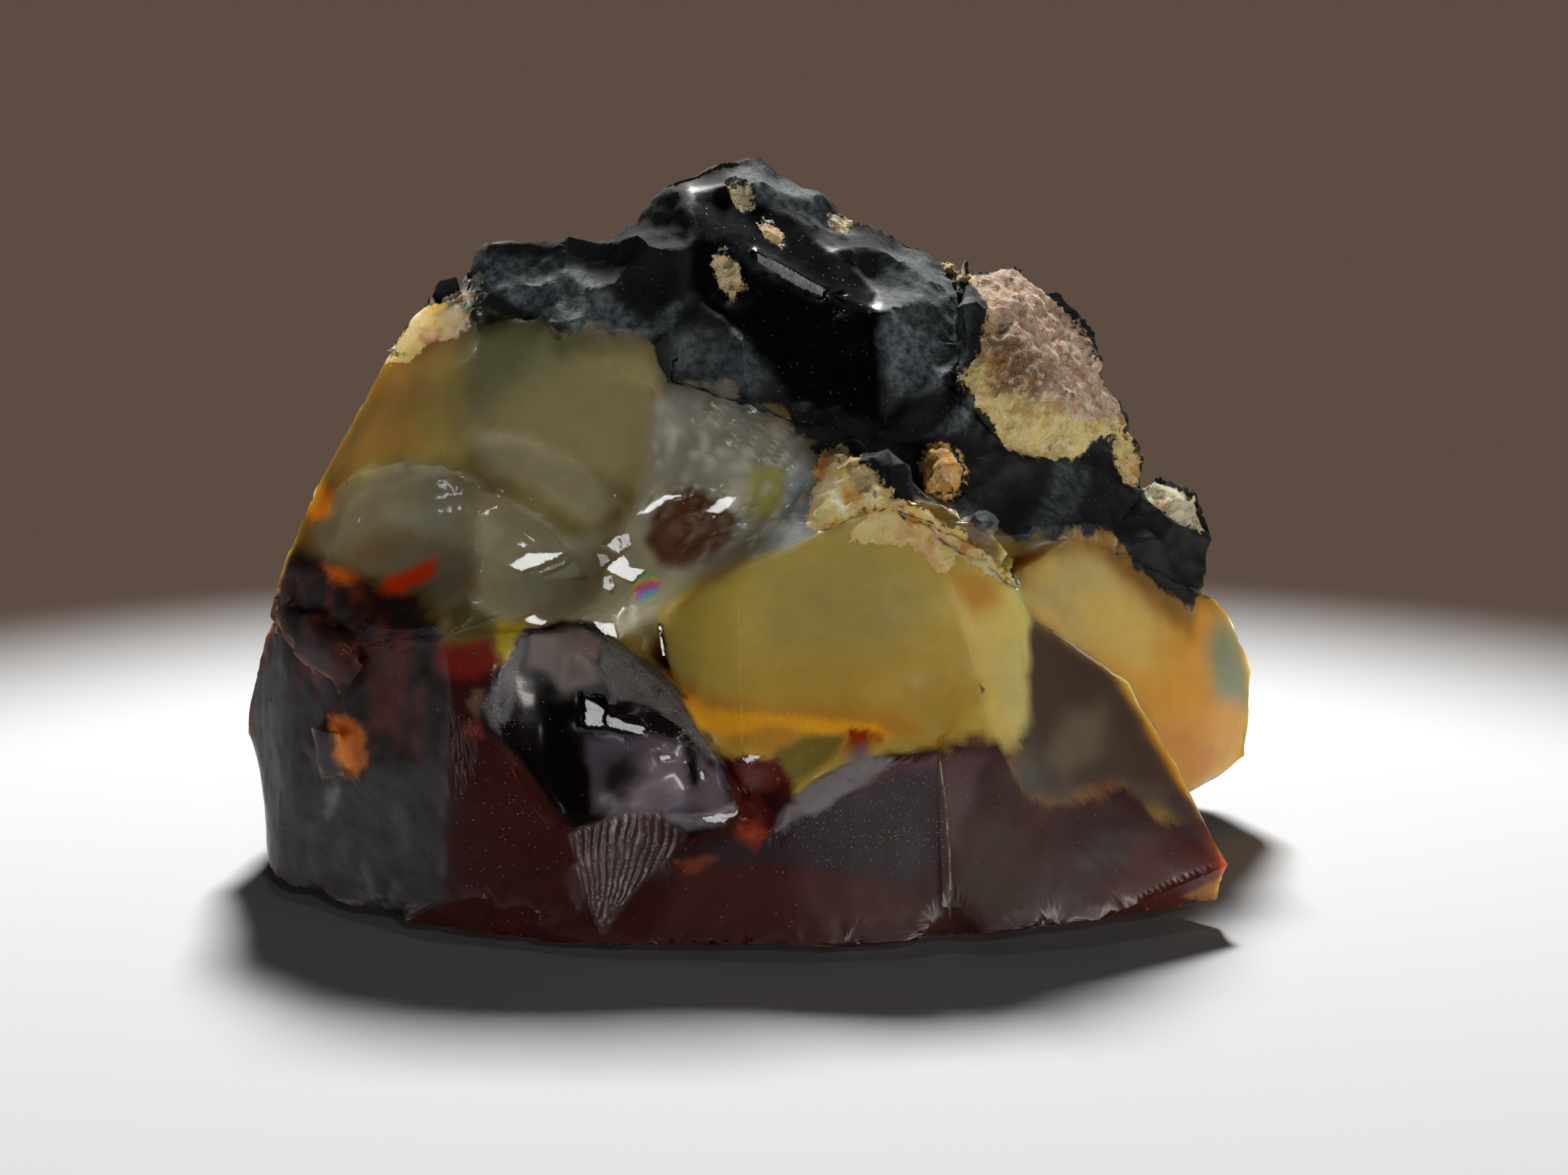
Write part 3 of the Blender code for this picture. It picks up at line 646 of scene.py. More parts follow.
# %% [markdown]
# ## Torn, crumbly and worn places
#
# Where the stone tore rather than snapped, the surface is rough. The left face is lumpy, the black
# seam is jagged except for its one smooth scoop, the middle is feathered by fine cracks, and the
# host rock is a crust of crumbs. Sharp edges have lost small flakes all along, most of all on the
# lower rim. Each is a different mix of the same noise.

# %% Rough textures by place
LEFT_FACE = "-25,2.3 -21.2,1.1 -18.1,-0.3 -15.3,-2.2 -15.3,-14.6 -25,-13.6"
SMOOTH_BLACK = "-4.3,18.3 0.4,17 4.4,13.5 4.5,7.2 0.3,8.2 -2.2,11.3 -4.3,13.4"
FEATHERED = "-5.4,9.3 -2.2,9.1 0.2,7.2 1.8,5.8 1.5,2.7 -0.8,1.6 -4.3,0.8 -6.7,3.5"
HACKLES = "-15.2,-5.4 -13.2,-6 -13.8,-8.5 -15.2,-10.5"
FEATHER_TURN = (0.87, 0.5)
FEATHER_SIZE = np.array([0.4, 2.6, 2.0])
FEATHER_HEIGHT = 0.16
HACKLE_HEIGHT = 0.05
HACKLE_SPACING = 0.33
left_rough = ease(inside(LEFT_FACE, u, v), -0.2, 0.6) * front
jagged = in_black * (1.0 - 0.85 * front * ease(inside(SMOOTH_BLACK, u, v), -0.3, 0.6))
feathered = ease(inside(FEATHERED, u, v), -0.2, 0.8) * front * (1.0 - in_black)
behind = (1.0 - front) * (1.0 - in_rock)
ROUGHNESS = [
    # where, kind of noise, height in mm, size in mm, seed, middle of that noise
    (left_rough, rugged, 0.22, 2.0, 51, 0.0),
    (left_rough, ridged, 0.06, 0.6, 52, 0.0),
    (jagged, scalloped, 0.95, 2.6, 53, 0.3),
    (jagged, scalloped, 0.22, 0.9, 54, 0.0),
    (feathered, rugged, 0.12, 1.6, 56, 0.0),
    (in_rock, rugged, 0.34, 1.1, 57, 0.0),
    (in_rock, ridged, 0.16, 0.5, 58, 0.5),
    (behind, scalloped, 0.75, 7.0, 59, 0.3),
    (behind, rugged, 0.10, 1.4, 60, 0.0),
]
for where, kind, height, size, seed, middle in ROUGHNESS:
    lift += where * height * (kind(points, size, seed) - middle)
cosine, sine = FEATHER_TURN
stroke = np.stack([cosine * u - sine * v, sine * u + cosine * v, y], axis=1) / FEATHER_SIZE
feathers = ridged(stroke, 1.0, 55)
lift += feathered * FEATHER_HEIGHT * (feathers - 0.5)
hackled = ease(inside(HACKLES, u, v), -0.1, 0.5) * front
hackles = np.sin((v - 0.25 * u) * 2 * math.pi / HACKLE_SPACING + 2.0 * noise(points, 0.8, 61))
lift += hackled * HACKLE_HEIGHT * np.maximum(0.0, hackles)
print("rough share of the skin:", round(float(np.mean(jagged + in_rock + left_rough > 0.5)), 2))

# %% Nicked edges and a flaked rim
NICK, DEEPER_NICK = 0.05, 0.16
RIM_FLAKE = 0.25
pairs, sides = edge_table(tris, len(points))
crease = creased(points, tris, pairs, sides, CREASE)
on_edge = np.bincount(pairs[crease].ravel(), minlength=len(points)) > 0
lift -= on_edge * (NICK + DEEPER_NICK * np.maximum(0.0, noise(points, 0.8, 71)))
rim = (1.0 - ease(z, 0.5, 2.2)) * ease(facing, -0.6, 0.0)
lift -= rim * RIM_FLAKE * np.maximum(0.0, rugged(points, 1.0, 72) - 0.05)
lift = np.where(z < FOOT, 0.0, lift)
points = points + lift[:, None] * normals
print("carved between", round(float(lift.min()), 2), "and", round(float(lift.max()), 2), "mm")

# %% [markdown]
# ## Ledges that flash
#
# The brightest spots on a broken glassy stone are small flake scars that mirror a lamp. Each ledge
# is an outline on the drawing. Its points slide along their line of sight until they lie in one
# plane, so the outline doesn't move. The plane is square to the half-way direction between the
# eye and a lamp, and some ledges lean from that by a few degrees, so they stay grey. Low ledges
# mirror a lamp overhead. The crest hides that one from the high ledges, so they mirror one in
# front.

# %% Cut the ledges
SKY_AT = np.array([12.0, -45.0, 285.0])
SPARK_AT = np.array([70.0, -285.0, 150.0])
OPEN_BELOW = 11.0
LEDGE_SLIDE = 1.2
LAYER = 4.0
ledge = np.zeros(len(points), dtype=np.int64)
distance = np.linalg.norm(points - EYE, axis=1)
for number, (_name, soft, lean_u, lean_v, outline) in enumerate(LEDGES):
    depth = inside(outline, u, v)
    chosen = (depth > -soft) & (facing > -0.2)
    chosen &= distance < distance[chosen].min() + LAYER
    centre = points[chosen & (depth > 0.0)].mean(axis=0)
    lamp_at = SKY_AT if centre[2] < OPEN_BELOW else SPARK_AT
    half = unit(unit(np.array([EYE, lamp_at]) - centre).sum(axis=0, keepdims=True))[0]
    half += RIGHTWARD * math.tan(math.radians(lean_u)) + UPWARD * math.tan(math.radians(lean_v))
    sight = points[chosen] - EYE
    reach = ((centre - EYE) @ half) / (sight @ half) - 1.0
    far = np.linalg.norm(sight, axis=1)
    reach = np.clip(reach * far, -LEDGE_SLIDE, LEDGE_SLIDE) / far
    points[chosen] += (ease(depth[chosen], -soft, 0.0) * reach)[:, None] * sight
    ledge[chosen & (depth >= 0.0)] = number + 1
points[:, 2] = np.maximum(points[:, 2], 0.0)
print("points on ledges:", int((ledge > 0).sum()))

# %% [markdown]
# ## Colour that lies in the stone, and painted light
#
# Opal is coloured by traces of iron: a little gives honey, more gives amber and fire, and a great
# deal gives maroon that hardly lets light through. The tones melt into each other, so they are
# laid on like glazes. Each zone is an outline on the drawing with a tone and a softness, and it
# mixes its tone over what is already there. A few marks paint light and shade instead: highlights
# on rims, lumps and ribs, and shade in hollows. Colours are chosen as sRGB hex values, and one
# function turns them to the linear values that Blender's shaders work with.

# %% Colour tools
def linear(tone):
    """An sRGB hex colour as three linear values: a straight foot, then a power of 2.4."""
    parts = np.array([int(tone[k:k + 2], 16) / 255.0 for k in (1, 3, 5)])
    return np.where(parts <= 0.04045, parts / 12.92, ((parts + 0.055) / 1.055) ** 2.4)


def mixed(under, over, share):
    """The two colours mixed, over taking this share at each point."""
    return under + share[:, None] * (over - under)


def glazed(colour, zones, where):
    """Each zone's tone mixed over the colour, fading in across its softness."""
    for _name, tone, soft, strength, outline in zones:
        depth = inside(outline, wander_u, wander_v)
        colour = mixed(colour, linear(tone), where * strength * ease(depth, -soft, soft))
    return colour

# %% Outlines that several marks share
CHIP_LEFT = "-11.8,-2 -11.6,-2.9 -12.2,-4.2 -12.3,-6 -13.3,-6.4 -13.8,-5.4 -12.6,-3.4"
CHIP_RIGHT = (
    "-8.3,-2.7 -7.8,-2.4 -5.6,-3.6 -4.3,-5.6 -2.8,-8 -3.4,-7.5 -4.5,-6.3 -5.6,-5.6 -7.8,-5.1 "
    "-8.4,-3.9"
)
FROSTED_STEP = (
    "-0.7,-11.1 -0.1,-10.1 1.1,-9.1 2.6,-8.1 3.8,-7.7 4.9,-7.8 3,-9.3 2.4,-9.7 1.5,-10.3 "
    "0.6,-10.5"
)
HONEY_MIDDLE = "-5.6,-1 4,3.1 11,0.3 11,-7 0,-9"
SHARED = [CHIP_LEFT, CHIP_RIGHT, FROSTED_STEP, HONEY_MIDDLE]
print("corners in the shared outlines:", [len(drawn(outline)) for outline in SHARED])

# %% The honey and amber zones
# name, tone, softness in mm, strength, outline on the drawing
TINTS = [
    ("olive_shoulder", "#a89c6e", 1.3, 1,
     "-14.7,11.7 -5.3,11.7 -4.8,7.2 -6.7,4.4 -9.7,2.7 -12.9,4.4 -14.7,5.8 -15,9.3"),
    ("pale_arc", "#c8c09c", 0.5, 0.7,
     "-14.3,7.2 -11.6,6.8 -9.1,5.4 -7.4,3.7 -8.8,2.7 -11.2,4.4 -13.3,5.4"),
    ("green_haze", "#76805e", 1.2, 0.6,
     "-14.8,11.9 -8.1,11.7 -9.8,9.9 -12.6,8.9 -14.3,7.2 -14.8,8.6"),
    ("amber_strip", "#dac878", 0.9, 1,
     "-18,10.3 -14.8,11.3 -14.7,5.4 -17.4,5.6 -20.2,4.1 -19.2,7.2"),
    ("strip_glow", "#e8cc70", 0.5, 0.8, "-18.8,7.2 -16.6,7.9 -16.1,5.8 -18.1,5.8 -20.2,4.4"),
    ("left_lobe", "#aa9e7c", 0.35, 1,
     "-21.2,2.7 -20.7,3.5 -19.2,5 -17.4,5.7 -16.1,5.7 -13.8,4.6 -11.2,3.4 -9.8,2.2 -11.2,0.3 "
     "-13.3,-1.1 -15,-2.2 -16.1,-0.1 -20.6,0.9"),
    ("lobe_pale", "#c6c0a2", 0.5, 0.7,
     "-18.1,3.7 -14.7,4.1 -12.6,2.7 -13.3,1.3 -16.1,2.3 -18.1,2.7"),
    ("lobe_amber", "#94743c", 0.6, 0.6, "-20.2,1.7 -18.1,2.6 -16.7,2.3 -18.1,0.8 -19.9,0.9"),
    ("ember_streak", "#ff5210", 0.25, 1,
     "-18.7,-0.5 -18.1,0.3 -16.6,1.1 -15.6,1.4 -15.8,0.6 -17.3,-0.3"),
    ("orange_tip", "#ffb030", 0.2, 1, "-21.5,4.1 -20.7,4.7 -20.2,4.2 -20.3,3.4 -21.3,3"),
    ("glass_scar", "#bcb494", 0.5, 1,
     "-13.8,1.1 -11.9,2.3 -9.8,2.2 -7.8,2.7 -5.4,4.4 -0.8,1.6 -4.1,0.1 -5.6,-1.1 -7.8,-2.4 "
     "-11.6,-1.7 -14,-1.1"),
    ("saddle", "#b0ac98", 0.7, 1, FEATHERED),
    ("brown_glass", "#6b4630", 0.35, 1,
     "-5.8,3.7 -4.3,4.4 -2.6,3.9 -2.2,2.7 -4.1,0.9 -5.6,1.1 -6.2,2.3"),
    ("knob", "#d0c860", 0.35, 0.8, "-2.3,4.4 -1.3,5.4 -0.1,5.4 0.6,4.2 -0.4,3 -1.8,3.4"),
    ("blue_white", "#b8c4c6", 0.3, 1, "0.4,5.8 1.7,5.3 2,3.4 1.3,2.3 -0.1,1.7 -1.2,2.1 -0.1,3.4"),
    ("honey_facet", "#cfb65c", 0.25, 1,
     "-5.6,-1.1 -4.1,0.2 -2.8,0.5 -1,1.5 0.6,2 2.9,3.1 4.7,3.7 6.1,2.7 10.3,0.5 11.3,-1.8 "
     "11.4,-3.9 10.9,-7.5 9.5,-6.7 7.7,-6.9 4.8,-7.6 2,-8.6 0.6,-9.6 -0.7,-7.7 -2.8,-7.7 "
     "-4.5,-5.1 -5.4,-3"),
    ("olive_heart", "#aea060", 1.5, 0.7,
     "-1.3,1 2.3,2.3 5.7,1.8 6.6,-0.4 5.7,-2.9 3,-3.9 -0.8,-3.2"),
    ("honey_left", "#c4ac50", 0.9, 0.9, "-5.4,-1.5 -4.1,0 -2.1,0.8 -1.9,-4.6 -4.1,-4.8 -5,-2.9"),
    ("honey_low", "#c09a3c", 1.6, 0.7, "-2.2,-3.5 7.5,-2.5 9.2,-6.3 5.4,-6.8 1.9,-5.6 -2.2,-5.1"),
    ("gold_strip", "#e6ce78", 0.35, 1,
     "7.2,0.8 10.8,-0.1 11.3,-1.8 11.4,-3.9 10.9,-7.4 9.5,-6.6 8.2,-2.2"),
    ("gold_light", "#d8cc88", 0.9, 0.9, "9.5,-2.9 10.9,-2.2 11.3,-3.9 11,-7 10.2,-6.8"),
    ("gold_amber", "#cc9038", 0.5, 0.8, "7.3,0.8 9.2,0.6 9.9,-0.8 8.5,-1.5"),
    ("amber_foot", "#c88a28", 0.6, 0.75,
     "-5.3,-3.9 -2.2,-5.1 5.1,-5.4 6.1,-6.3 3.7,-7.5 1.2,-8 -2.2,-7.5 -4.1,-5.8"),
    ("amber_light", "#ffb828", 0.25, 1,
     "-4.5,-4.8 -3.1,-5.6 -0.8,-5.7 1.9,-6 4,-6.1 4.7,-6.7 1.9,-6.6 -0.8,-6.3 -2.6,-6.8 "
     "-3.8,-6.3"),
    ("olive_pocket", "#7c7034", 0.25, 0.9,
     "-0.5,-7.5 1.2,-6.7 2.8,-6.6 2.3,-7.8 0.9,-8.7 0.2,-9.1"),
    ("scarlet_spark", "#a03810", 0.12, 1, "2.9,-6.4 3.8,-6.4 4.4,-6.9 3.6,-7.3 3,-7"),
    ("wedge", "#5e4c40", 0.3, 1,
     "11.1,-1.1 11.7,-1.6 14.2,-3.3 16.5,-5.8 18.4,-9.3 18.9,-10.8 16.1,-9.8 14.9,-8.8 "
     "12.8,-9.8 10.9,-9.4 10.2,-8 11.1,-5.6"),
    ("wedge_light", "#84745e", 0.6, 0.9, "12.8,-5.6 14.7,-5.3 14.4,-7.5 12.7,-8.7 11.8,-8"),
    ("wedge_green", "#5e5a4a", 0.5, 0.8, "10.2,-7.5 11.3,-6.7 12.1,-8.4 11.3,-9.3"),
    ("bulge", "#dca440", 0.4, 1,
     "10.9,-0.8 11.3,1 13.1,2.3 14.4,2.5 18.9,-0.4 21.3,-2.9 21.3,-8 18.2,-9.6 16.5,-5.8 "
     "14.2,-3.3 11.7,-1.6"),
    ("bulge_haze", "#ccb878", 0.9, 0.9,
     "10.9,-0.6 12.1,1.8 15.1,1.8 17.3,-0.6 16.1,-3.2 13.4,-2.5"),
    ("bulge_gold", "#e8c468", 1, 0.9, "13,-0.8 15.4,-0.1 17.2,-2.2 16.5,-4.2 14.4,-2.5"),
    ("bulge_amber", "#e0a028", 0.9, 0.9, "16.1,-4.2 18.9,-4.2 19.9,-6.7 18.5,-9.1 16.8,-6.3"),
    ("bulge_orange", "#d28a1a", 0.5, 0.9, "16.7,-6.1 18.5,-6.7 19.6,-7.7 18.2,-9.3"),
    ("bulge_brown", "#a87024", 0.6, 0.9, "13.9,1.8 15.4,1.6 17.9,-0.8 18.5,-2.2 16.5,-0.8"),
    ("bulge_teal", "#84967c", 0.6, 0.9,
     "19.5,-1.1 20.8,-1.8 21.3,-3.9 20.9,-5.4 19.6,-4.8 19.1,-2.9"),
]
print("zones of honey and amber:", len(TINTS))

# %% The maroon zones
MAROONS = [
    ("maroon_plate", "#3c110a", 0.12, 1,
     "-15.3,-2.9 -13.3,-3.9 -13.6,-6.5 -9.3,-11 -8.1,-15.9 -15.5,-14.2"),
    ("plate_smoke", "#2a0a07", 0.8, 0.7, "-15,-3.9 -13.3,-4.6 -13.3,-6.7 -14.7,-8"),
    ("left_face", "#382e30", 0.12, 1,
     "-25.1,2.3 -21.2,1.1 -18.1,-0.3 -15.3,-2.2 -15.3,-8.4 -15.5,-14.6 -25.1,-13.6"),
    ("left_shadow", "#1e0a08", 0.6, 1,
     "-22.6,2.3 -20.2,1.1 -18.1,-0.1 -15.4,-2.4 -15.3,-7.2 -17.4,-8.4 -18.8,-7.7 -20.6,-4.6 "
     "-22.6,-3.2"),
    ("left_foot_grey", "#3e383a", 0.8, 1, "-21.8,-9.1 -19.5,-8 -15.4,-8.4 -15.5,-14.1 -23,-13.2"),
    ("left_plate", "#48464a", 0.15, 1,
     "-24.4,-3.9 -22.6,-3.1 -22.1,-5.6 -22.3,-10.6 -23.5,-10.5 -24.2,-8"),
    ("left_ember_spot", "#f07a20", 0.25, 0.9, "-20.7,1 -19.9,0.9 -19.1,0.4 -19.5,0.1 -20.5,0.5"),
    ("left_violet", "#2e2830", 0.5, 0.8, "-22.3,-2.2 -20.7,-2.9 -20.6,-6.7 -21.9,-7.7"),
    ("knot_low", "#e08030", 0.18, 1,
     "-20.6,-5.8 -19.5,-5.9 -18.8,-6.7 -18.9,-8 -19.5,-8.6 -20.2,-7.5"),
    ("ring_red", "#7a1c18", 0.3, 0.95, "-15.8,-2.4 -13.3,-2.2 -12.8,-3.3 -14,-4.1 -15.6,-3.9"),
    ("yellow_patch", "#b09a26", 0.12, 1, "-13.1,-1.5 -11.7,-1.7 -11.8,-2.2 -12.5,-3.3 -12.9,-2.9"),
    ("ring_glass", "#5f5726", 0.25, 0.9,
     "-15.2,-1.1 -14.3,-0.6 -13.4,-1.1 -13.3,-2 -14.5,-2.4 -15.2,-2"),
    ("pink_chip", "#6e2c20", 0.15, 0.95, "-14.5,-6.2 -13.8,-6.1 -13.5,-6.7 -13.9,-6.9 -14.6,-6.7"),
    ("chip_wall", "#6a5040", 0.15, 0.9, "-14.2,-4.6 -13.6,-4.6 -13.8,-6 -14.3,-5.4"),
    ("chip", "#1c1417", 0.08, 1, CHIP),
    # The scoop is painted darker than the rest of the chip: painted shade in its hollow.
    ("chip_scoop", "#0d0607", 0.5, 1,
     "-12.9,-5.6 -11.2,-3.9 -9.7,-4.6 -9,-8 -8.6,-10.1 -9.7,-10.5 -11.6,-8"),
    ("chip_head", "#7a6c66", 0.25, 1,
     "-11.4,-2.2 -9.7,-1.7 -8.1,-2.4 -8.6,-3.5 -8.3,-4.2 -9.8,-4.8 -10.7,-3.9 -11.6,-3.5"),
    ("chip_bevel_left", "#23262b", 0.15, 1, CHIP_LEFT),
    ("chip_bevel_right", "#3b3836", 0.12, 1, CHIP_RIGHT),
    # The lumps' pale grey-violet is partly their own tone and partly a painted sheen.
    ("chip_lumps", "#70646e", 0.25, 1,
     "-8.9,-6.8 -6,-6.8 -4.3,-7.2 -2.9,-8.4 -2.3,-10.1 -4.1,-10.6 -6.7,-10.5 -8.6,-10.2"),
    ("chip_lump_dark", "#231a20", 0.4, 0.9, "-7.8,-8 -6.9,-7.5 -6.4,-8.4 -7.2,-9.6 -7.9,-9.4"),
    # The pit is painted near black: painted shade in the hollow carved there.
    ("chip_pit", "#151014", 0.15, 1,
     "-4.5,-7.1 -4.1,-6.8 -3.8,-7.4 -3.9,-9.1 -4.3,-8.7 -4.4,-7.7"),
    # The lip's pale grey is a painted highlight along the chip's lower edge.
    ("chip_lip", "#8a8288", 0.15, 0.9,
     "-6.2,-10.3 -4.3,-10.3 -2.2,-9.8 -2.1,-10.3 -3.4,-10.7 -4.5,-11"),
    ("fan", "#5a4443", 0.15, 1,
     "-9.7,-11.2 -9.2,-10.9 -7.2,-10.2 -5.7,-10.2 -4.4,-11.2 -5.2,-12.3 -6.3,-13.3 -7.8,-15.2 "
     "-8.3,-15.8 -9,-13.9"),
    ("low_front", "#4a1e18", 0.8, 0.9,
     "-7.8,-15.8 -5.3,-12.5 -0.8,-12.2 6.1,-13.9 7.3,-15.1 -0.8,-16.2"),
    ("plum", "#34242a", 0.3, 1,
     "-2,-10.6 0.6,-10.6 3.3,-9.3 6.1,-8 7,-8.4 7.4,-12.2 5.4,-13.2 -0.8,-12.4 -3.3,-12.7 "
     "-4.1,-11.9"),
    ("frost_ledge", "#766a70", 0.12, 1, FROSTED_STEP),
    ("frost_ledge_red", "#57333a", 0.2, 0.8, "3,-8.7 4.9,-7.8 6.4,-7.5 6.9,-8 4.7,-8.4 3.3,-9.3"),
    ("seam_side", "#5a3e40", 0.3, 0.9, "7.1,-7.5 9.2,-7.2 8.9,-8.4 8.2,-10.1 8,-11.9 7.6,-11.5"),
    ("right_smoke", "#40291f", 0.7, 0.9, "8.2,-10.1 10.6,-9.4 11.3,-12.2 10.6,-15 7.8,-15"),
    ("right_dark", "#2e1210", 0.9, 0.9, "12.3,-10.1 15.8,-9.8 17.5,-11.5 16.5,-13.2 13,-13.2"),
    ("right_ruddy", "#4c1c18", 0.5, 0.9, "15.8,-11.5 18.2,-11.2 19.6,-12.9 17.2,-14.4 14.4,-14.6"),
    ("wedge_edge", "#40343a", 0.3, 0.8, "17.2,-9.4 18,-9.1 19.6,-11.7 19.1,-12 17.5,-10.6"),
    ("nick", "#7a5a38", 0.12, 0.95, "12.9,-9.6 13.4,-9.1 14.4,-8.7 15.4,-8.8 14.7,-9.2 13.6,-9.8"),
    ("nick_ember", "#7a4424", 0.08, 1, "13.4,-9 14.4,-8.7 15.2,-8.9 14.4,-9.1"),
    ("tip_amber", "#8a5c22", 0.15, 1, "18,-13.8 19.9,-13.1 20,-13.6 18.7,-14.3"),
    ("notch_red", "#62201a", 0.2, 1,
     "-1.9,-7.5 -1.2,-8 -0.3,-7.7 0.6,-9.1 -0.1,-10.1 -0.7,-11 -1.3,-11.9 -2.6,-11.2 -2,-10.2 "
     "-2.4,-8.4"),
    ("notch_ember", "#9a3c1c", 0.12, 0.9, "-2.3,-10.8 -1.3,-10.5 -0.7,-11 -1.3,-11.7 -2,-11.4"),
    ("notch_dark", "#2c0c0b", 0.12, 0.9, "-1.2,-9.3 -0.3,-9.1 0.4,-9.6 -0.1,-10.2 -0.8,-9.9"),
    ("dark_chip", "#2a1212", 0.1, 1,
     "-5.1,-12.3 -4.3,-11.6 -3.1,-11.2 -2.1,-10.6 -2.4,-11.3 -3.4,-12.1 -4.5,-12.5"),
    ("dark_chip_rim", "#7c3a22", 0.07, 1,
     "-5.1,-12.4 -4.1,-12.3 -3.1,-12.1 -2.9,-12.3 -4.1,-12.8 -4.8,-12.7"),
]
print("zones of maroon:", len(MAROONS))

# %% Zones that show through only in flecks and streaks
FLECKED = [
    ("pale_patch", "#98a2a8", 0.2, 0.9, "-20.8,-9.3 -19.4,-8.8 -18.9,-9.8 -19.3,-11 -20.6,-10.8"),
    ("pale_patch_low", "#9aa4a8", 0.2, 0.9,
     "-19.3,-12.2 -18.1,-11.7 -17.4,-13.2 -17.4,-14.6 -19,-14.4"),
    ("pale_patch_mid", "#7c8386", 0.25, 0.8, "-18.9,-9.9 -18,-9.8 -17.8,-11.5 -18.5,-12"),
    ("knot_top", "#8a3018", 0.25, 0.95, "-22,-0.8 -21.1,-0.4 -20.4,-1.1 -20.7,-2.3 -21.8,-2.1"),
    ("knot_side", "#a04020", 0.22, 0.95, "-20,-1.6 -18.8,-1.5 -18.6,-2.7 -19.4,-3.3 -20.1,-2.6"),
    ("left_top_ember", "#6a2410", 0.4, 0.9,
     "-21.1,0.8 -19.2,0.3 -18.1,-1.1 -20.2,-1.1 -21.1,-0.4"),
    ("saddle_frost", "#c8cac2", 0.5, 0.6,
     "-5,9.1 -2.6,9.1 -0.5,7.7 1.2,6.1 0.6,4.4 -0.8,2.7 -2.2,4.1 -4.3,4.4 -5.7,3.9 -6,5.8"),
    # Painted highlight in near white along the saddle's rim.
    ("saddle_rim_highlight", "#e8e8e0", 0.2, 0.9,
     "-6.7,3.2 -6,3.9 -4.3,4.4 -2,4.4 -2.2,3.3 -3.6,3.3 -4.6,4 -5.8,3.4"),
    # White frost, painted brighter still as a highlight.
    ("white_frost_and_highlight", "#f2f4f4", 0.2, 1,
     "-1.3,2.3 -0.8,3 0.2,3.3 1.3,2.7 0.9,2.2 -0.7,1.6 -1.3,1.3"),
    ("knob_crumbs", "#e8e4d0", 0.2, 0.9, "-2.6,4.9 -1.7,5.3 -1.3,4.4 -2,3.2 -2.7,3.4"),
    ("shoulder_frost", "#c8c8bc", 0.4, 0.7, "-5.7,10.3 -3.3,9.3 -4.3,7.2 -6,5.8 -6.4,8.2"),
    # A pale line just under the lobe's arc: painted highlight along its rim.
    ("lobe_rim_highlight", "#b4ab92", 0.15, 0.6,
     "-19.2,4.1 -18.1,4.8 -16.1,5.6 -14,5.2 -13.3,4.4 -14.7,4.8 -16.7,4.8 -18.5,3.9"),
    ("left_streaks", "#5c5e62", 0.8, 0.5,
     "-22.3,-10.8 -19.2,-7.7 -16.1,-8.4 -15.5,-14.3 -21.6,-13.6"),
    ("rust_streaks", "#6a2818", 0.6, 0.7,
     "-22.3,0.3 -18.1,-0.8 -16.1,-2.9 -16.1,-8 -18.8,-8.4 -20.9,-5.6 -22.3,-3.2"),
    ("black_dust", "#a89870", 0.3, 0.5, "7.5,4.4 9.2,2.7 10.9,2.3 10.6,4.1 9.2,5.4"),
]
print("flecked zones:", len(FLECKED))

# %% Lay on the glazes
AMBER_LINE, AMBER_SHARE = "#b0701c", 0.8
FEATHER_WHITE, FEATHER_SHARE = "#e2ddcc", 0.95
SMOKE, SMOKE_SHARE = "#34331f", 0.55
# The paler grey laid on the crests of the fan's ribs is a painted highlight.
RIB_HIGHLIGHT, RIB_HIGHLIGHT_SHARE = "#98898a", 0.8
BROWN_OVER_FEATHERS = 0.85
BACK_HONEY = ["#8a7434", "#a87c2c", "#6a5c34"]
BACK_MAROON = ["#42170f", "#331c1e"]
cloud = rugged(points, 4.0, 81) * 0.5 + 0.5
streak = rugged(points * [0.5, 0.5, 1.4], 2.6, 82) * 0.5 + 0.5
pale, golden, dim = (linear(tone) for tone in BACK_HONEY)
honey = mixed(mixed(pale, golden, ease(cloud, 0.35, 0.75)), dim, ease(streak, 0.5, 0.85))
red, plum = (linear(tone) for tone in BACK_MAROON)
deep = mixed(red, plum, ease(streak, 0.35, 0.7))
in_maroon = ease(maroon, -0.12, 0.25)
amber_line = ease(maroon, -2.2, -0.2) * (1.0 - front) * AMBER_SHARE
tint = glazed(mixed(honey, linear(AMBER_LINE), amber_line), TINTS, front)
tint = mixed(tint, glazed(deep, MAROONS[:1], front), in_maroon)
tint = glazed(tint, MAROONS, front)
flecks = ease(rugged(points * [1.0, 1.0, 0.5], 1.1, 86, 5), -0.15, 0.45)
tint = glazed(tint, FLECKED, front * flecks)
tint = mixed(tint, linear(FEATHER_WHITE), feathered * FEATHER_SHARE * ease(feathers, 0.42, 0.8))
brown_glass = [zone for zone in TINTS if zone[0] == "brown_glass"]
tint = glazed(tint, brown_glass, front * BROWN_OVER_FEATHERS)
smoke = ease(black, -1.6, 0.0) * (1.0 - in_maroon)
tint = mixed(tint, linear(SMOKE), SMOKE_SHARE * smoke)
# Painted highlight on the rib crests.
tint = mixed(tint, linear(RIB_HIGHLIGHT), in_fan * RIB_HIGHLIGHT_SHARE * ease(rib, 0.2, 0.9))
tint *= (1.0 + 0.10 * rugged(points, 1.6, 83) + 0.05 * noise(points, 0.4, 84))[:, None]
print("mean stone colour, linear:", np.round(tint.mean(axis=0), 3))

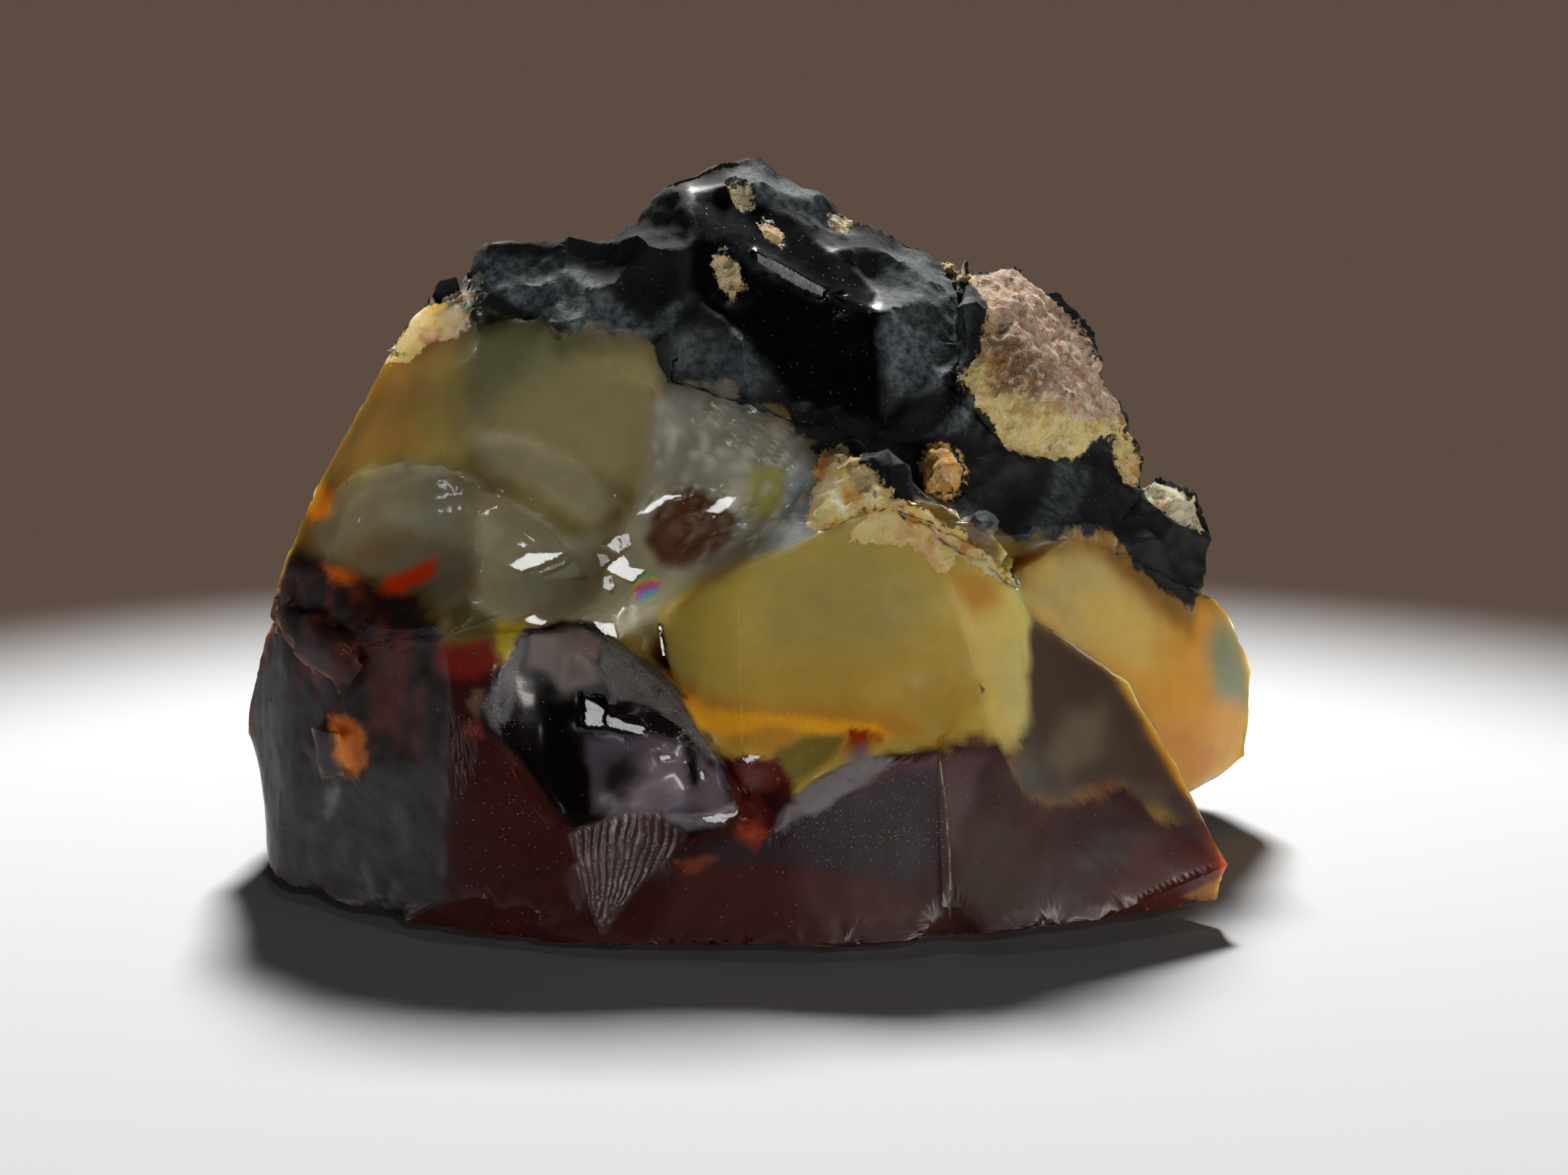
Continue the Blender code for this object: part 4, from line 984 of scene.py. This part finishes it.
# %% A rainbow in one crack
# Light bouncing between the walls of a hair crack shows thin-film colours, in arcs like a spill
# of oil. There is one such spot, 1.6 mm across.
RAINBOW_AT = (-6.3, 0.05)
RAINBOW_SIZE = 0.8
RAINBOW_SHARE = 0.85
ARC_SHIFT = (0.5, -0.7)
ARC_FROM, ARC_WIDTH = 0.25, 1.1
RAINBOW = ["#f0f4ee", "#58c8a8", "#7ab8f0", "#c860c8", "#f06080", "#f0d070", "#60c090"]
arc = np.hypot(wander_u - RAINBOW_AT[0] - ARC_SHIFT[0], wander_v - RAINBOW_AT[1] - ARC_SHIFT[1])
phase = np.clip((arc - ARC_FROM) / ARC_WIDTH, 0.0, 0.999) * (len(RAINBOW) - 1)
ramp = np.stack([linear(tone) for tone in RAINBOW])
step = phase.astype(int)
film = ramp[step] + (phase - step)[:, None] * (ramp[step + 1] - ramp[step])
spot = 1.0 - np.hypot(u - RAINBOW_AT[0], v - RAINBOW_AT[1]) / RAINBOW_SIZE
tint = mixed(tint, film, front * RAINBOW_SHARE * ease(spot, 0.0, 0.45))
print("points in the rainbow spot:", int((front * spot > 0).sum()))

# %% Where frost and dust lie
# Each row ends with strength, softness in mm and outline. Two rows, on the black scoop and on the
# curve of a black scar, paint highlights as pale frost.
FROSTS = [
    ("crest_facet", 0.9, 0.25,
     "-14,15 -11.2,15.1 -9.1,14.6 -7.8,13.2 -6.2,11.9 -5.1,12.5 -4.5,13 -5,11.7 -6.2,11.3 "
     "-8.1,11.3 -10,11.9 -11.2,12.5 -12.9,13.2 -14,13.6"),
    ("peak_facet", 0.9, 0.2,
     "-2.1,19.1 -0.8,19.2 0.2,18.7 1.2,18.1 2.1,16.9 3.2,16.5 3.4,15.8 2.1,16 0.6,16.9 "
     "-0.8,17.2 -2,17.6 -2.7,18.3"),
    ("grey_flank", 0.8, 0.35,
     "4.3,15.1 5.4,15.6 7.8,14.4 8.4,12.7 8.2,10.3 7.6,9.3 6.4,8.6 4.9,8.6 4.5,10.5 4.4,13.6"),
    ("lit_hollow", 0.15, 0.35,
     # This row is a painted highlight band on the black scoop, laid on as pale frost.
     "-3.9,17.5 -2.2,16.5 0.6,14.6 2.1,13.6 1.6,12.9 -0.8,14.1 -3.6,16 -4.5,17.2"),
    ("black_front_haze", 0.35, 0.5, "-5,11.7 -2.2,11.3 -0.8,9.9 -1.2,8.6 -3.3,8.9 -5,9.9"),
    # The crescent is a painted highlight on the curve of a black scar, laid on as pale frost.
    ("crescent_highlight", 0.6, 0.15, "6.4,7 7.5,7.7 8.4,8.6 8.8,8.4 8.2,7.4 7,6.7"),
    ("black_right_haze", 0.4, 0.4, "12.3,5.8 13.7,5.4 13,3 10.9,2.3 10.6,2.7 12,4.1"),
    ("ledge_shadow_haze", 0.6, 0.25, "7.5,3.7 8.7,3.5 9.5,2.3 9.2,1.6 8.2,2.3"),
    ("chip_bevel_right", 0.55, 0.12, CHIP_RIGHT),
    ("chip_bevel_left", 0.5, 0.15, CHIP_LEFT),
    ("frost_ledge", 0.8, 0.12, FROSTED_STEP),
]
DUSTY = [
    (1.0, 0.15, "-8.3,-2.7 -5.6,-3.6 -4.3,-5.6 -2.8,-8 -3.5,-7.5 -5.6,-5.6 -7.8,-5.1"),
    (1.0, 0.15, "-11.8,-2 -11.4,-3.4 -11.7,-6.3 -13.3,-6.5 -13.8,-5.4 -12.6,-3.4"),
    (0.8, 0.5, "-1.2,-11 0.8,-10.6 3,-9.4 6,-8.1 7.3,-9 7.5,-12 2,-12.6"),
    (0.22, 0.5, HONEY_MIDDLE),
    (0.06, 0.5, "-12,14 0,19.5 9,14 17,3 5,4 -5,9"),
    (0.15, 0.5, "-15,-3 -13,-7 -9,-13 -15,-13.5"),
]
print("zones of frost and dust:", len(FROSTS), "and", len(DUSTY))

# %% Where the stone is polished or clear
POLISHED = [
    (0.6, 0.3, CHIP),
    (1.0, 0.5, GLASSY_SCARS),
    (0.9, 0.5, FEATHERED),
    (0.8, 0.4, SMOOTH_BLACK),
    (0.6, 0.3, HONEY_MIDDLE),
]
CLEAR = [
    (0.5, 0.5, GLASSY_SCARS),
    (0.3, 0.6, FEATHERED),
    (0.5, 0.4, "11.1,-1.1 14.2,-3.3 16.5,-5.8 18.4,-9.3 15,-8.8 11,-9.4"),
    (0.3, 0.5, "11,0 13.1,2.3 18.9,0 21.5,-3 21,-8 18.2,-9.6 14.2,-3.3"),
    (0.5, 0.6, "-18.6,10.4 -14.6,11.3 -14.6,5.4 -21.5,3.6"),
]
WEDGE = "11.1,-1.6 14.2,-3.3 16.5,-5.8 19,-10.5 15,-10 10.8,-9.4"
print("polished and clear zones:", len(POLISHED), "and", len(CLEAR))

# %% Frost, dust, polish and clearness
FROST_BEHIND = 0.7
FROST_THINNED_ON_LIT_TOPS = 0.55
LEAST_DUST, LEAST_POLISH = 0.03, 0.25
LEFT_FACE_DULL = 0.8
CLEAREST = 0.6
MAROON_DIM, WEDGE_DIM = 0.4, 0.6


def spread(zones):
    """The highest share that any of the zones gives each point."""
    total = np.zeros(len(points))
    for strength, soft, outline in zones:
        depth = inside(outline, wander_u, wander_v)
        total = np.maximum(total, strength * ease(depth, -soft, soft))
    return front * total


frost = spread([(strength, soft, outline) for _name, strength, soft, outline in FROSTS])
frost = np.maximum(frost, (1 - front) * in_black * FROST_BEHIND * ease(cloud, 0.45, 0.8))
# Faces that point up lose some pale frost because the lamp behind lights them most: painted shade
# that keeps those tops dark.
frost *= 1.0 - FROST_THINNED_ON_LIT_TOPS * ease(normals[:, 2], 0.45, 0.8)
dust = np.maximum(spread(DUSTY), LEAST_DUST)
polish = np.maximum(spread(POLISHED), LEAST_POLISH) - LEFT_FACE_DULL * left_rough
torn_top = in_black * ease(normals[:, 2], 0.35, 0.7)
polish *= 1.0 - torn_top * (1.0 - front * ease(inside(SMOOTH_BLACK, u, v), -0.6, 0.4))
polish = np.where(ledge > 0, 1.0, polish)
clear = CLEAREST * spread(CLEAR) * (1.0 - in_maroon)
in_wedge = front * ease(inside(WEDGE, u, v), -0.5, 0.5)
glow = 1.0 - MAROON_DIM * in_maroon - WEDGE_DIM * in_wedge
print("shares of frost, dust, polish, clear, glow:",
      [round(float(f.mean()), 2) for f in (frost, dust, polish, clear, glow)])

# %% Seams: healed cracks that cross the front as pale threads
NO_SEAM = 9.0
SEAM_REACH = 1.0
SEAMS = [
    # v,u on the drawing, from the top down
    "-0.1,-2.1 -2.3,-2 -7.2,-1.9",
    "1,7.3 -1.7,8.1 -4.6,8.9 -6.7,9.5",
    "-7.4,7 -9.7,7.3 -12.3,7.5 -15.2,7.5",
]
seam = np.full(len(points), NO_SEAM)
for path in SEAMS:
    levels, places = drawn(path)[::-1].T
    offset = u - np.interp(v, levels, places) + 0.03 * noise(points, 0.5, 85)
    within = (v > levels[0]) & (v < levels[-1]) & (facing > 0.1) & (np.abs(offset) < SEAM_REACH)
    seam = np.where(within & (np.abs(offset) < np.abs(seam)), offset, seam)
print("points beside a seam:", int((np.abs(seam) < 0.3).sum()))

# %% The host rock's own colours
ROCK_TONES = {
    "ledge": "#fbdc98", "patch": "#f6bc64", "lump": "#d0b09c", "lump_tail": "#f4cc80",
    "cap": "#eee6c4", "corner": "#f2ecd0", "fleck_peak": "#fff0c0", "fleck_mid": "#f8d090",
    "fleck_low": "#f4dca8", "fleck_top": "#fff0c8", "fleck_tip": "#f2ebc8",
    "fleck_spur": "#f2dca0",
}
BEHIND_PALE, BEHIND_BROWN = "#b08a5c", "#8c6c4c"
rock_tint = mixed(linear(BEHIND_PALE), linear(BEHIND_BROWN), ease(cloud, 0.3, 0.7))
for name, outline in CRUSTS:
    share = front * ease(inside(outline, u, v), -0.6, 0.0)
    rock_tint = mixed(rock_tint, linear(ROCK_TONES[name]), share)
LUMP_RIM = "8.2,10.5 9.5,12 9,14.2 10,10.8 11.2,8.6 13.4,7.6 15.8,7.6 16,6 13,5.2 9.6,6.2 7.9,9.2"
LUMP_BROWN = "9,11.5 10.6,11.4 12.2,9.6 11.5,8.4 9.4,8.9"
ON_LUMP = [(LUMP_RIM, "#f0d88c", -0.2, 0.3), (LUMP_BROWN, "#86644a", -0.6, 0.5)]
for outline, tone, low, high in ON_LUMP:
    rock_tint = mixed(rock_tint, linear(tone), front * ease(inside(outline, u, v), low, high))
rock_tint *= (1.0 + 0.22 * rugged(points, 0.9, 91))[:, None]
print("host rock tones:", len(ROCK_TONES))

# %% [markdown]
# ## The piece itself
#
# The arrays now become a mesh. Blender takes whole arrays with foreach_set, which is thousands of
# times quicker than adding faces one by one. The finishes ride along as attributes on the points,
# so the shader can read them wherever it is evaluated. Edges that still turn sharply are marked
# sharp, and all others are shaded smooth.

# %% Build the mesh
SHARP = 34.0
mesh = bpy.data.meshes.new("opal_lump")
mesh.vertices.add(len(points))
mesh.vertices.foreach_set("co", (points * MM).ravel())
mesh.loops.add(tris.size)
mesh.loops.foreach_set("vertex_index", tris.ravel().astype(np.int32))
mesh.polygons.add(len(tris))
for name, values in {
    "loop_start": np.arange(0, tris.size, 3, dtype=np.int32),
    "loop_total": np.full(len(tris), 3, dtype=np.int32),
    "use_smooth": np.ones(len(tris), dtype=bool),
}.items():
    mesh.polygons.foreach_set(name, values)
mesh.update(calc_edges=True)
mesh.validate()

on_ledge = (ledge[tris] > 0).all(axis=1) & (np.ptp(ledge[tris], axis=1) == 0)
ledge_faces = np.bincount(sides.ravel(), weights=np.repeat(on_ledge, 3), minlength=len(pairs))
sharp = creased(points, tris, pairs, sides, SHARP) | (ledge_faces == 1)
sharp_keys = np.sort(pairs[sharp, 0] * len(points) + pairs[sharp, 1])
ends = np.empty(len(mesh.edges) * 2, dtype=np.int32)
mesh.edges.foreach_get("vertices", ends)
ends = np.sort(ends.reshape(-1, 2).astype(np.int64), axis=1)
is_sharp = np.isin(ends[:, 0] * len(points) + ends[:, 1], sharp_keys)
mesh.attributes.new("sharp_edge", "BOOLEAN", "EDGE").data.foreach_set("value", is_sharp)


def keep(name, values):
    """Stores one number or one colour for each point under this name."""
    if values.ndim == 1:
        mesh.attributes.new(name, "FLOAT", "POINT").data.foreach_set("value", values)
    else:
        full = np.concatenate([np.clip(values, 0, 1), np.ones((len(values), 1))], axis=1)
        mesh.attributes.new(name, "FLOAT_COLOR", "POINT").data.foreach_set("color", full.ravel())


for name, values in {
    "tint": tint, "rock_tint": rock_tint, "rock": rock, "black": black, "frost": frost,
    "dust": dust, "polish": polish, "clear": clear, "glow": glow, "seam": seam,
}.items():
    keep(name, values)
stone = put("opal_lump", mesh)
print("piece:", len(mesh.vertices), "points,", len(mesh.polygons), "triangles,",
      int(is_sharp.sum()), "sharp edges")

# %% [markdown]
# ## One stone, one finish with many faces
#
# Common and fire opal is hydrated silica with an IOR of about 1.45. A fresh conchoidal break is as
# glossy as glass, weathered breaks are waxy, and bruised or dusty ones are frosted. Light enters
# the honey and comes out again millimetres away, which is what makes it glow. Splitting the stone
# into separate materials would put hard borders where the real one has none, so one shader reads
# the attributes and mixes the finishes. Host rock is porous rhyolite stained by iron: matt and
# crumbly. Its crumbs are about 0.4 mm. Dust grains are really 0.02 mm and are drawn at 0.05, the
# smallest that still shows as a dot.

# %% A helper that adds one node
def add(tree, kind, *values, sockets=None, out=0, **settings):
    """Adds a shader node and gives one of its outputs.

    The values fill its inputs in order, and sockets fill further inputs by their name or number.
    A value that is itself an output gets linked.
    """
    node = tree.nodes.new("ShaderNode" + kind)
    for name, value in settings.items():
        setattr(node, name, value)
    for name, value in (dict(enumerate(values)) | (sockets or {})).items():
        if isinstance(value, bpy.types.NodeSocket):
            tree.links.new(value, node.inputs[name])
        else:
            node.inputs[name].default_value = value
    return node.outputs[out] if node.outputs else None


def empty_tree(owner):
    """The node tree of a material or world, with nothing in it."""
    owner.use_nodes = True
    owner.node_tree.nodes.clear()
    return owner.node_tree


def per_metre(size):
    """A texture scale whose features are about this many millimetres."""
    return 1.0 / (size * MM)


def rgba(tone):
    """A hex colour as the four linear values that a socket takes."""
    return (*[float(part) for part in linear(tone)], 1.0)

# %% Read the attributes
finish = bpy.data.materials.new("banded opal, broken and part weathered")
tree = empty_tree(finish)
place = add(tree, "TexCoord", out="Object")
read = {
    name: add(tree, "Attribute", attribute_name=name, out="Fac")
    for name in ("rock", "black", "frost", "dust", "polish", "clear", "glow", "seam")
}
tint_here = add(tree, "Attribute", attribute_name="tint", out="Color")
rock_here = add(tree, "Attribute", attribute_name="rock_tint", out="Color")
print("attributes read:", len(read) + 2)

# %% Grains of several sizes
GRAINS = {
    # name: size in mm, octaves, roughness of the octaves
    "powder": (0.12, 2.0, 0.6),
    "fine": (0.35, 3.0, 0.6),
    "crumb": (0.42, 5.0, 0.75),
    "bruise": (0.5, 5.0, 0.7),
    "pit": (0.8, 4.0, 0.7),
    "coarse": (1.1, 4.0, 0.6),
}
grain = {
    name: add(tree, "TexNoise", out="Fac", sockets={
        "Vector": place, "Scale": per_metre(size), "Detail": octaves, "Roughness": rough,
    })
    for name, (size, octaves, rough) in GRAINS.items()
}
print("grains:", list(GRAINS))

# %% Masks with ragged edges
# A mask is a field plus some grain, eased from 0 to 1 between two levels of the sum. FUSED is
# one product and one sum: the first value times the second, plus the third.
EASED = {"interpolation_type": "SMOOTHSTEP"}
TIMES, PLUS, MINUS, BELOW, GREATER, FUSED = (
    {"operation": name}
    for name in ("MULTIPLY", "ADD", "SUBTRACT", "LESS_THAN", "MAXIMUM", "MULTIPLY_ADD")
)
ragged = add(tree, "Math", grain["fine"], 0.9, read["rock"], **FUSED)
rock_mask = add(tree, "MapRange", ragged, 0.42, 0.55, 0.0, 1.0, **EASED)
torn_edge = add(tree, "Math", grain["coarse"], 1.6, read["black"], **FUSED)
black_mask = add(tree, "MapRange", torn_edge, 0.62, 0.98, 0.0, 1.0, **EASED)
bruised = add(tree, "MapRange", grain["bruise"], 0.24, 0.5, 0.0, 1.0, **EASED)
frost_mask = add(tree, "Math", read["frost"], bruised, **TIMES)
gap = add(tree, "Math", read["seam"], operation="ABSOLUTE")
thread = add(tree, "MapRange", gap, 0.02, 0.06, 1.0, 0.0, **EASED)
patchy = add(tree, "MapRange", grain["bruise"], 0.42, 0.6, 0.05, 0.4, **EASED)
seam_mask = add(tree, "Math", thread, patchy, **TIMES)
DUST_CELL = 0.09
DUST_SHARE = 0.4
cells = add(tree, "TexVoronoi", out="Distance", sockets={
    "Vector": place, "Scale": per_metre(DUST_CELL),
})
lot = add(tree, "SeparateColor", cells.node.outputs["Color"])
chance = add(tree, "Math", read["dust"], DUST_SHARE, **TIMES)
dot = add(tree, "MapRange", cells, 0.12, 0.34, 1.0, 0.0, **EASED)
speck = add(tree, "Math", dot, add(tree, "Math", lot, chance, **BELOW), **TIMES)
print("a dust cell is", DUST_CELL, "mm wide")

# %% Base colour of the opal
UNDER, OVER = 6, 7
RGBA = {"data_type": "RGBA", "out": 2}
soot = add(tree, "MapRange", grain["coarse"], 0.5, 0.75, 0.0, 1.0, **EASED)
sooty = add(tree, "Mix", soot, sockets={UNDER: rgba("#030406"), OVER: rgba("#0a0d11")}, **RGBA)
bloom = add(tree, "MapRange", grain["fine"], 0.35, 0.65, 0.0, 1.0, **EASED)
frosted = add(tree, "Mix", bloom, sockets={UNDER: rgba("#444f55"), OVER: rgba("#7a878d")}, **RGBA)
dark_part = add(tree, "Mix", frost_mask, sockets={UNDER: sooty, OVER: frosted}, **RGBA)
half_frost = add(tree, "Math", frost_mask, 0.6, **TIMES)
opal = tint_here
for share, tone in ((half_frost, "#9a9698"), (seam_mask, "#e6d8a8")):
    opal = add(tree, "Mix", share, sockets={UNDER: opal, OVER: rgba(tone)}, **RGBA)
stone_colour = add(tree, "Mix", black_mask, sockets={UNDER: opal, OVER: dark_part}, **RGBA)
print("nodes so far:", len(tree.nodes))

# %% Base colour of the host rock, and dust over all
light = add(tree, "MapRange", grain["crumb"], 0.46, 0.64, 0.0, 0.75, **EASED)
rusty = add(tree, "MapRange", grain["coarse"], 0.5, 0.34, 0.0, 0.5, **EASED)
# Pits are coloured dark brown where the relief below also sinks them: painted shade in the hollows.
pits = add(tree, "MapRange", grain["pit"], 0.36, 0.28, 0.0, 0.6, **EASED)
rock_colour = rock_here
for share, tone in ((light, "#fff2cc"), (rusty, "#c4802c"), (pits, "#33221a")):
    rock_colour = add(tree, "Mix", share, sockets={UNDER: rock_colour, OVER: rgba(tone)}, **RGBA)
colour = add(tree, "Mix", rock_mask, sockets={UNDER: stone_colour, OVER: rock_colour}, **RGBA)
dusted = add(tree, "Math", speck, 0.6, **TIMES)
colour = add(tree, "Mix", dusted, sockets={UNDER: colour, OVER: rgba("#d6d0c6")}, **RGBA)
print("nodes so far:", len(tree.nodes))

# %% Gloss
BEFORE, AFTER = 2, 3
GLASSY, JET, TORN, WAXY, FROSTY, EARTHY, POWDERY = 0.1, 0.14, 0.9, 0.44, 0.6, 0.92, 0.6
gloss = add(tree, "MapRange", read["polish"], 0.0, 1.0, WAXY, GLASSY, clamp=False)
jet = add(tree, "MapRange", read["polish"], 0.0, 0.9, TORN, JET)
for mask, level in ((black_mask, jet), (frost_mask, FROSTY), (rock_mask, EARTHY)):
    gloss = add(tree, "Mix", mask, sockets={BEFORE: gloss, AFTER: level})
gloss = add(tree, "Math", gloss, add(tree, "Math", speck, POWDERY, **TIMES), **GREATER)
print("roughness runs from", GLASSY, "to", EARTHY)

# %% Fine relief
# Heights in millimetres: powder on frosted places, a skin on torn black, crumbs and pits on rock.
powder = add(tree, "Math", frost_mask, 0.035, 0.002, **FUSED)
powder = add(tree, "Math", grain["powder"], powder, **TIMES)
torn = add(tree, "Math", read["polish"], -0.035, 0.04, **FUSED)
torn = add(tree, "Math", add(tree, "Math", torn, black_mask, **TIMES), grain["bruise"], **TIMES)
crumbs = add(tree, "Math", pits, -0.4, grain["crumb"], **FUSED)
crumbs = add(tree, "Math", add(tree, "Math", crumbs, rock_mask, **TIMES), 0.4, **TIMES)
grit = add(tree, "Math", speck, 0.03, **TIMES)
relief = add(tree, "Math", add(tree, "Math", powder, torn, **PLUS), crumbs, **PLUS)
relief = add(tree, "Math", relief, grit, **PLUS)
bump = add(tree, "Bump", out="Normal", sockets={"Height": relief, "Strength": 1.0, "Distance": MM})
print("relief is in mm")

# %% The shader
GLOW_DEPTH = 6.0
OPAL_IOR = 1.45
RED_GOES_DEEPEST = (1.0, 0.6, 0.22)
bare = add(tree, "Math", 1.0, add(tree, "Math", rock_mask, black_mask, **GREATER), **MINUS)
pale = add(tree, "Math", 0.9, add(tree, "Math", black_mask, 0.9, **TIMES), **MINUS)
glowing = add(tree, "Math", pale, read["glow"], **TIMES)
body = add(tree, "BsdfPrincipled", sockets={
    "Base Color": colour,
    "Roughness": gloss,
    "IOR": OPAL_IOR,
    "Normal": bump,
    "Subsurface Weight": glowing,
    "Subsurface Radius": RED_GOES_DEEPEST,
    "Subsurface Scale": GLOW_DEPTH * MM,
    "Transmission Weight": add(tree, "Math", bare, read["clear"], **TIMES),
})
add(tree, "OutputMaterial", body)
mesh.materials.append(finish)
print("the finish has", len(tree.nodes), "nodes")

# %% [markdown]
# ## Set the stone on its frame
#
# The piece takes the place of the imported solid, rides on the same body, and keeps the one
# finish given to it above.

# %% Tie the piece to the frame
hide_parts(STONE)
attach(stone, "root")
print("the piece stands for", STONE)

# %% [markdown]
# ## A plain stage
#
# Translucent stones are lit from behind, so that light comes through them. A soft lamp stands
# behind and above. Two small ones stand overhead and in front, where the ledges mirror them. A
# wide one stands low at either side. They fill the front without a glare on it, and hardly touch
# the floor, so the shadow stays deep. The floor is a pale disc that falls off into a dim brown
# room, so it shows no edge.

# %% Floor
FLOOR_RADIUS = 130.0
FLOOR_SIDES = 96
FLOOR_MIDDLE = (0.0, -25.0, 0.0)
FADE_FROM, FADE_TO = 54.0, 92.0
around = np.linspace(0.0, 2 * math.pi, FLOOR_SIDES, endpoint=False)
ring = np.stack([np.cos(around), np.sin(around), 0.0 * around], axis=1) * FLOOR_RADIUS * MM
floor_mesh = bpy.data.meshes.new("floor")
floor_mesh.from_pydata(ring.tolist(), [], [list(range(FLOOR_SIDES))])
floor = put("floor", floor_mesh)
floor.location = Vector(FLOOR_MIDDLE) * MM
paper = bpy.data.materials.new("matt white card, fading into the dim room")
tree = empty_tree(paper)
flat_place = add(tree, "TexCoord", out="Object")
away = add(tree, "VectorMath", flat_place, operation="LENGTH", out="Value")
gone = add(tree, "MapRange", away, FADE_FROM * MM, FADE_TO * MM, 0.0, 1.0, **EASED)
card = add(tree, "BsdfPrincipled", sockets={
    "Base Color": rgba("#d3d6d9"), "Roughness": 0.9, "IOR": 1.3,
})
add(tree, "OutputMaterial", add(tree, "MixShader", gone, card, add(tree, "BsdfTransparent")))
floor_mesh.materials.append(paper)
print("floor radius:", FLOOR_RADIUS, "mm")

# %% The dim room
world = bpy.data.worlds.new("dim brown room, lighter behind")
bpy.context.scene.world = world
tree = empty_tree(world)
room_place = add(tree, "TexCoord", out="Generated")
to_back = add(tree, "SeparateXYZ", room_place, out="Y")
up = to_back.node.outputs["Z"]
behind_it = add(tree, "MapRange", to_back, 0.35, 0.9, 0.0, 1.0, **EASED)
below_it = add(tree, "MapRange", up, 0.05, 0.4, 1.0, 0.0, **EASED)
behind_it = add(tree, "Math", behind_it, below_it, **TIMES)
wall = add(tree, "Mix", behind_it, sockets={UNDER: rgba("#14110f"), OVER: rgba("#5c4c41")}, **RGBA)
add(tree, "OutputWorld", add(tree, "Background", wall, 1.0))
bpy.context.scene.view_settings.view_transform = "Standard"
print("room:", world.name)

# %% Soft lamps
LAMPS = [
    # name, place in mm, size in mm, watts, colour
    ("window behind", (-4.0, 200.0, 250.0), (60.0, 50.0), 1.8, "#fffdfa"),
    ("small skylight", SKY_AT, (13.0, 13.0), 0.0095, "#ffffff"),
    ("spark in front", SPARK_AT, (21.0, 21.0), 0.036, "#ffffff"),
    ("fill at the right", (210.0, -220.0, 6.0), (180.0, 12.0), 0.4, "#fffaf2"),
    ("fill at the left", (-295.0, -70.0, 6.0), (160.0, 12.0), 0.06, "#f4f6ff"),
]
LAMPS_AIM = Vector((0.0, 0.0, 12.0))
for name, stand, size, power, tone in LAMPS:
    lamp = bpy.data.lights.new(name, "AREA")
    lamp.shape = "RECTANGLE"
    lamp.size, lamp.size_y = (side * MM for side in size)
    lamp.energy = power
    lamp.color = [float(part) for part in linear(tone)]
    holder = put(name, lamp)
    holder.location = Vector(stand) * MM
    holder.rotation_euler = (LAMPS_AIM - Vector(stand)).to_track_quat("-Z", "Y").to_euler()
print("lamps:", [lamp[0] for lamp in LAMPS])
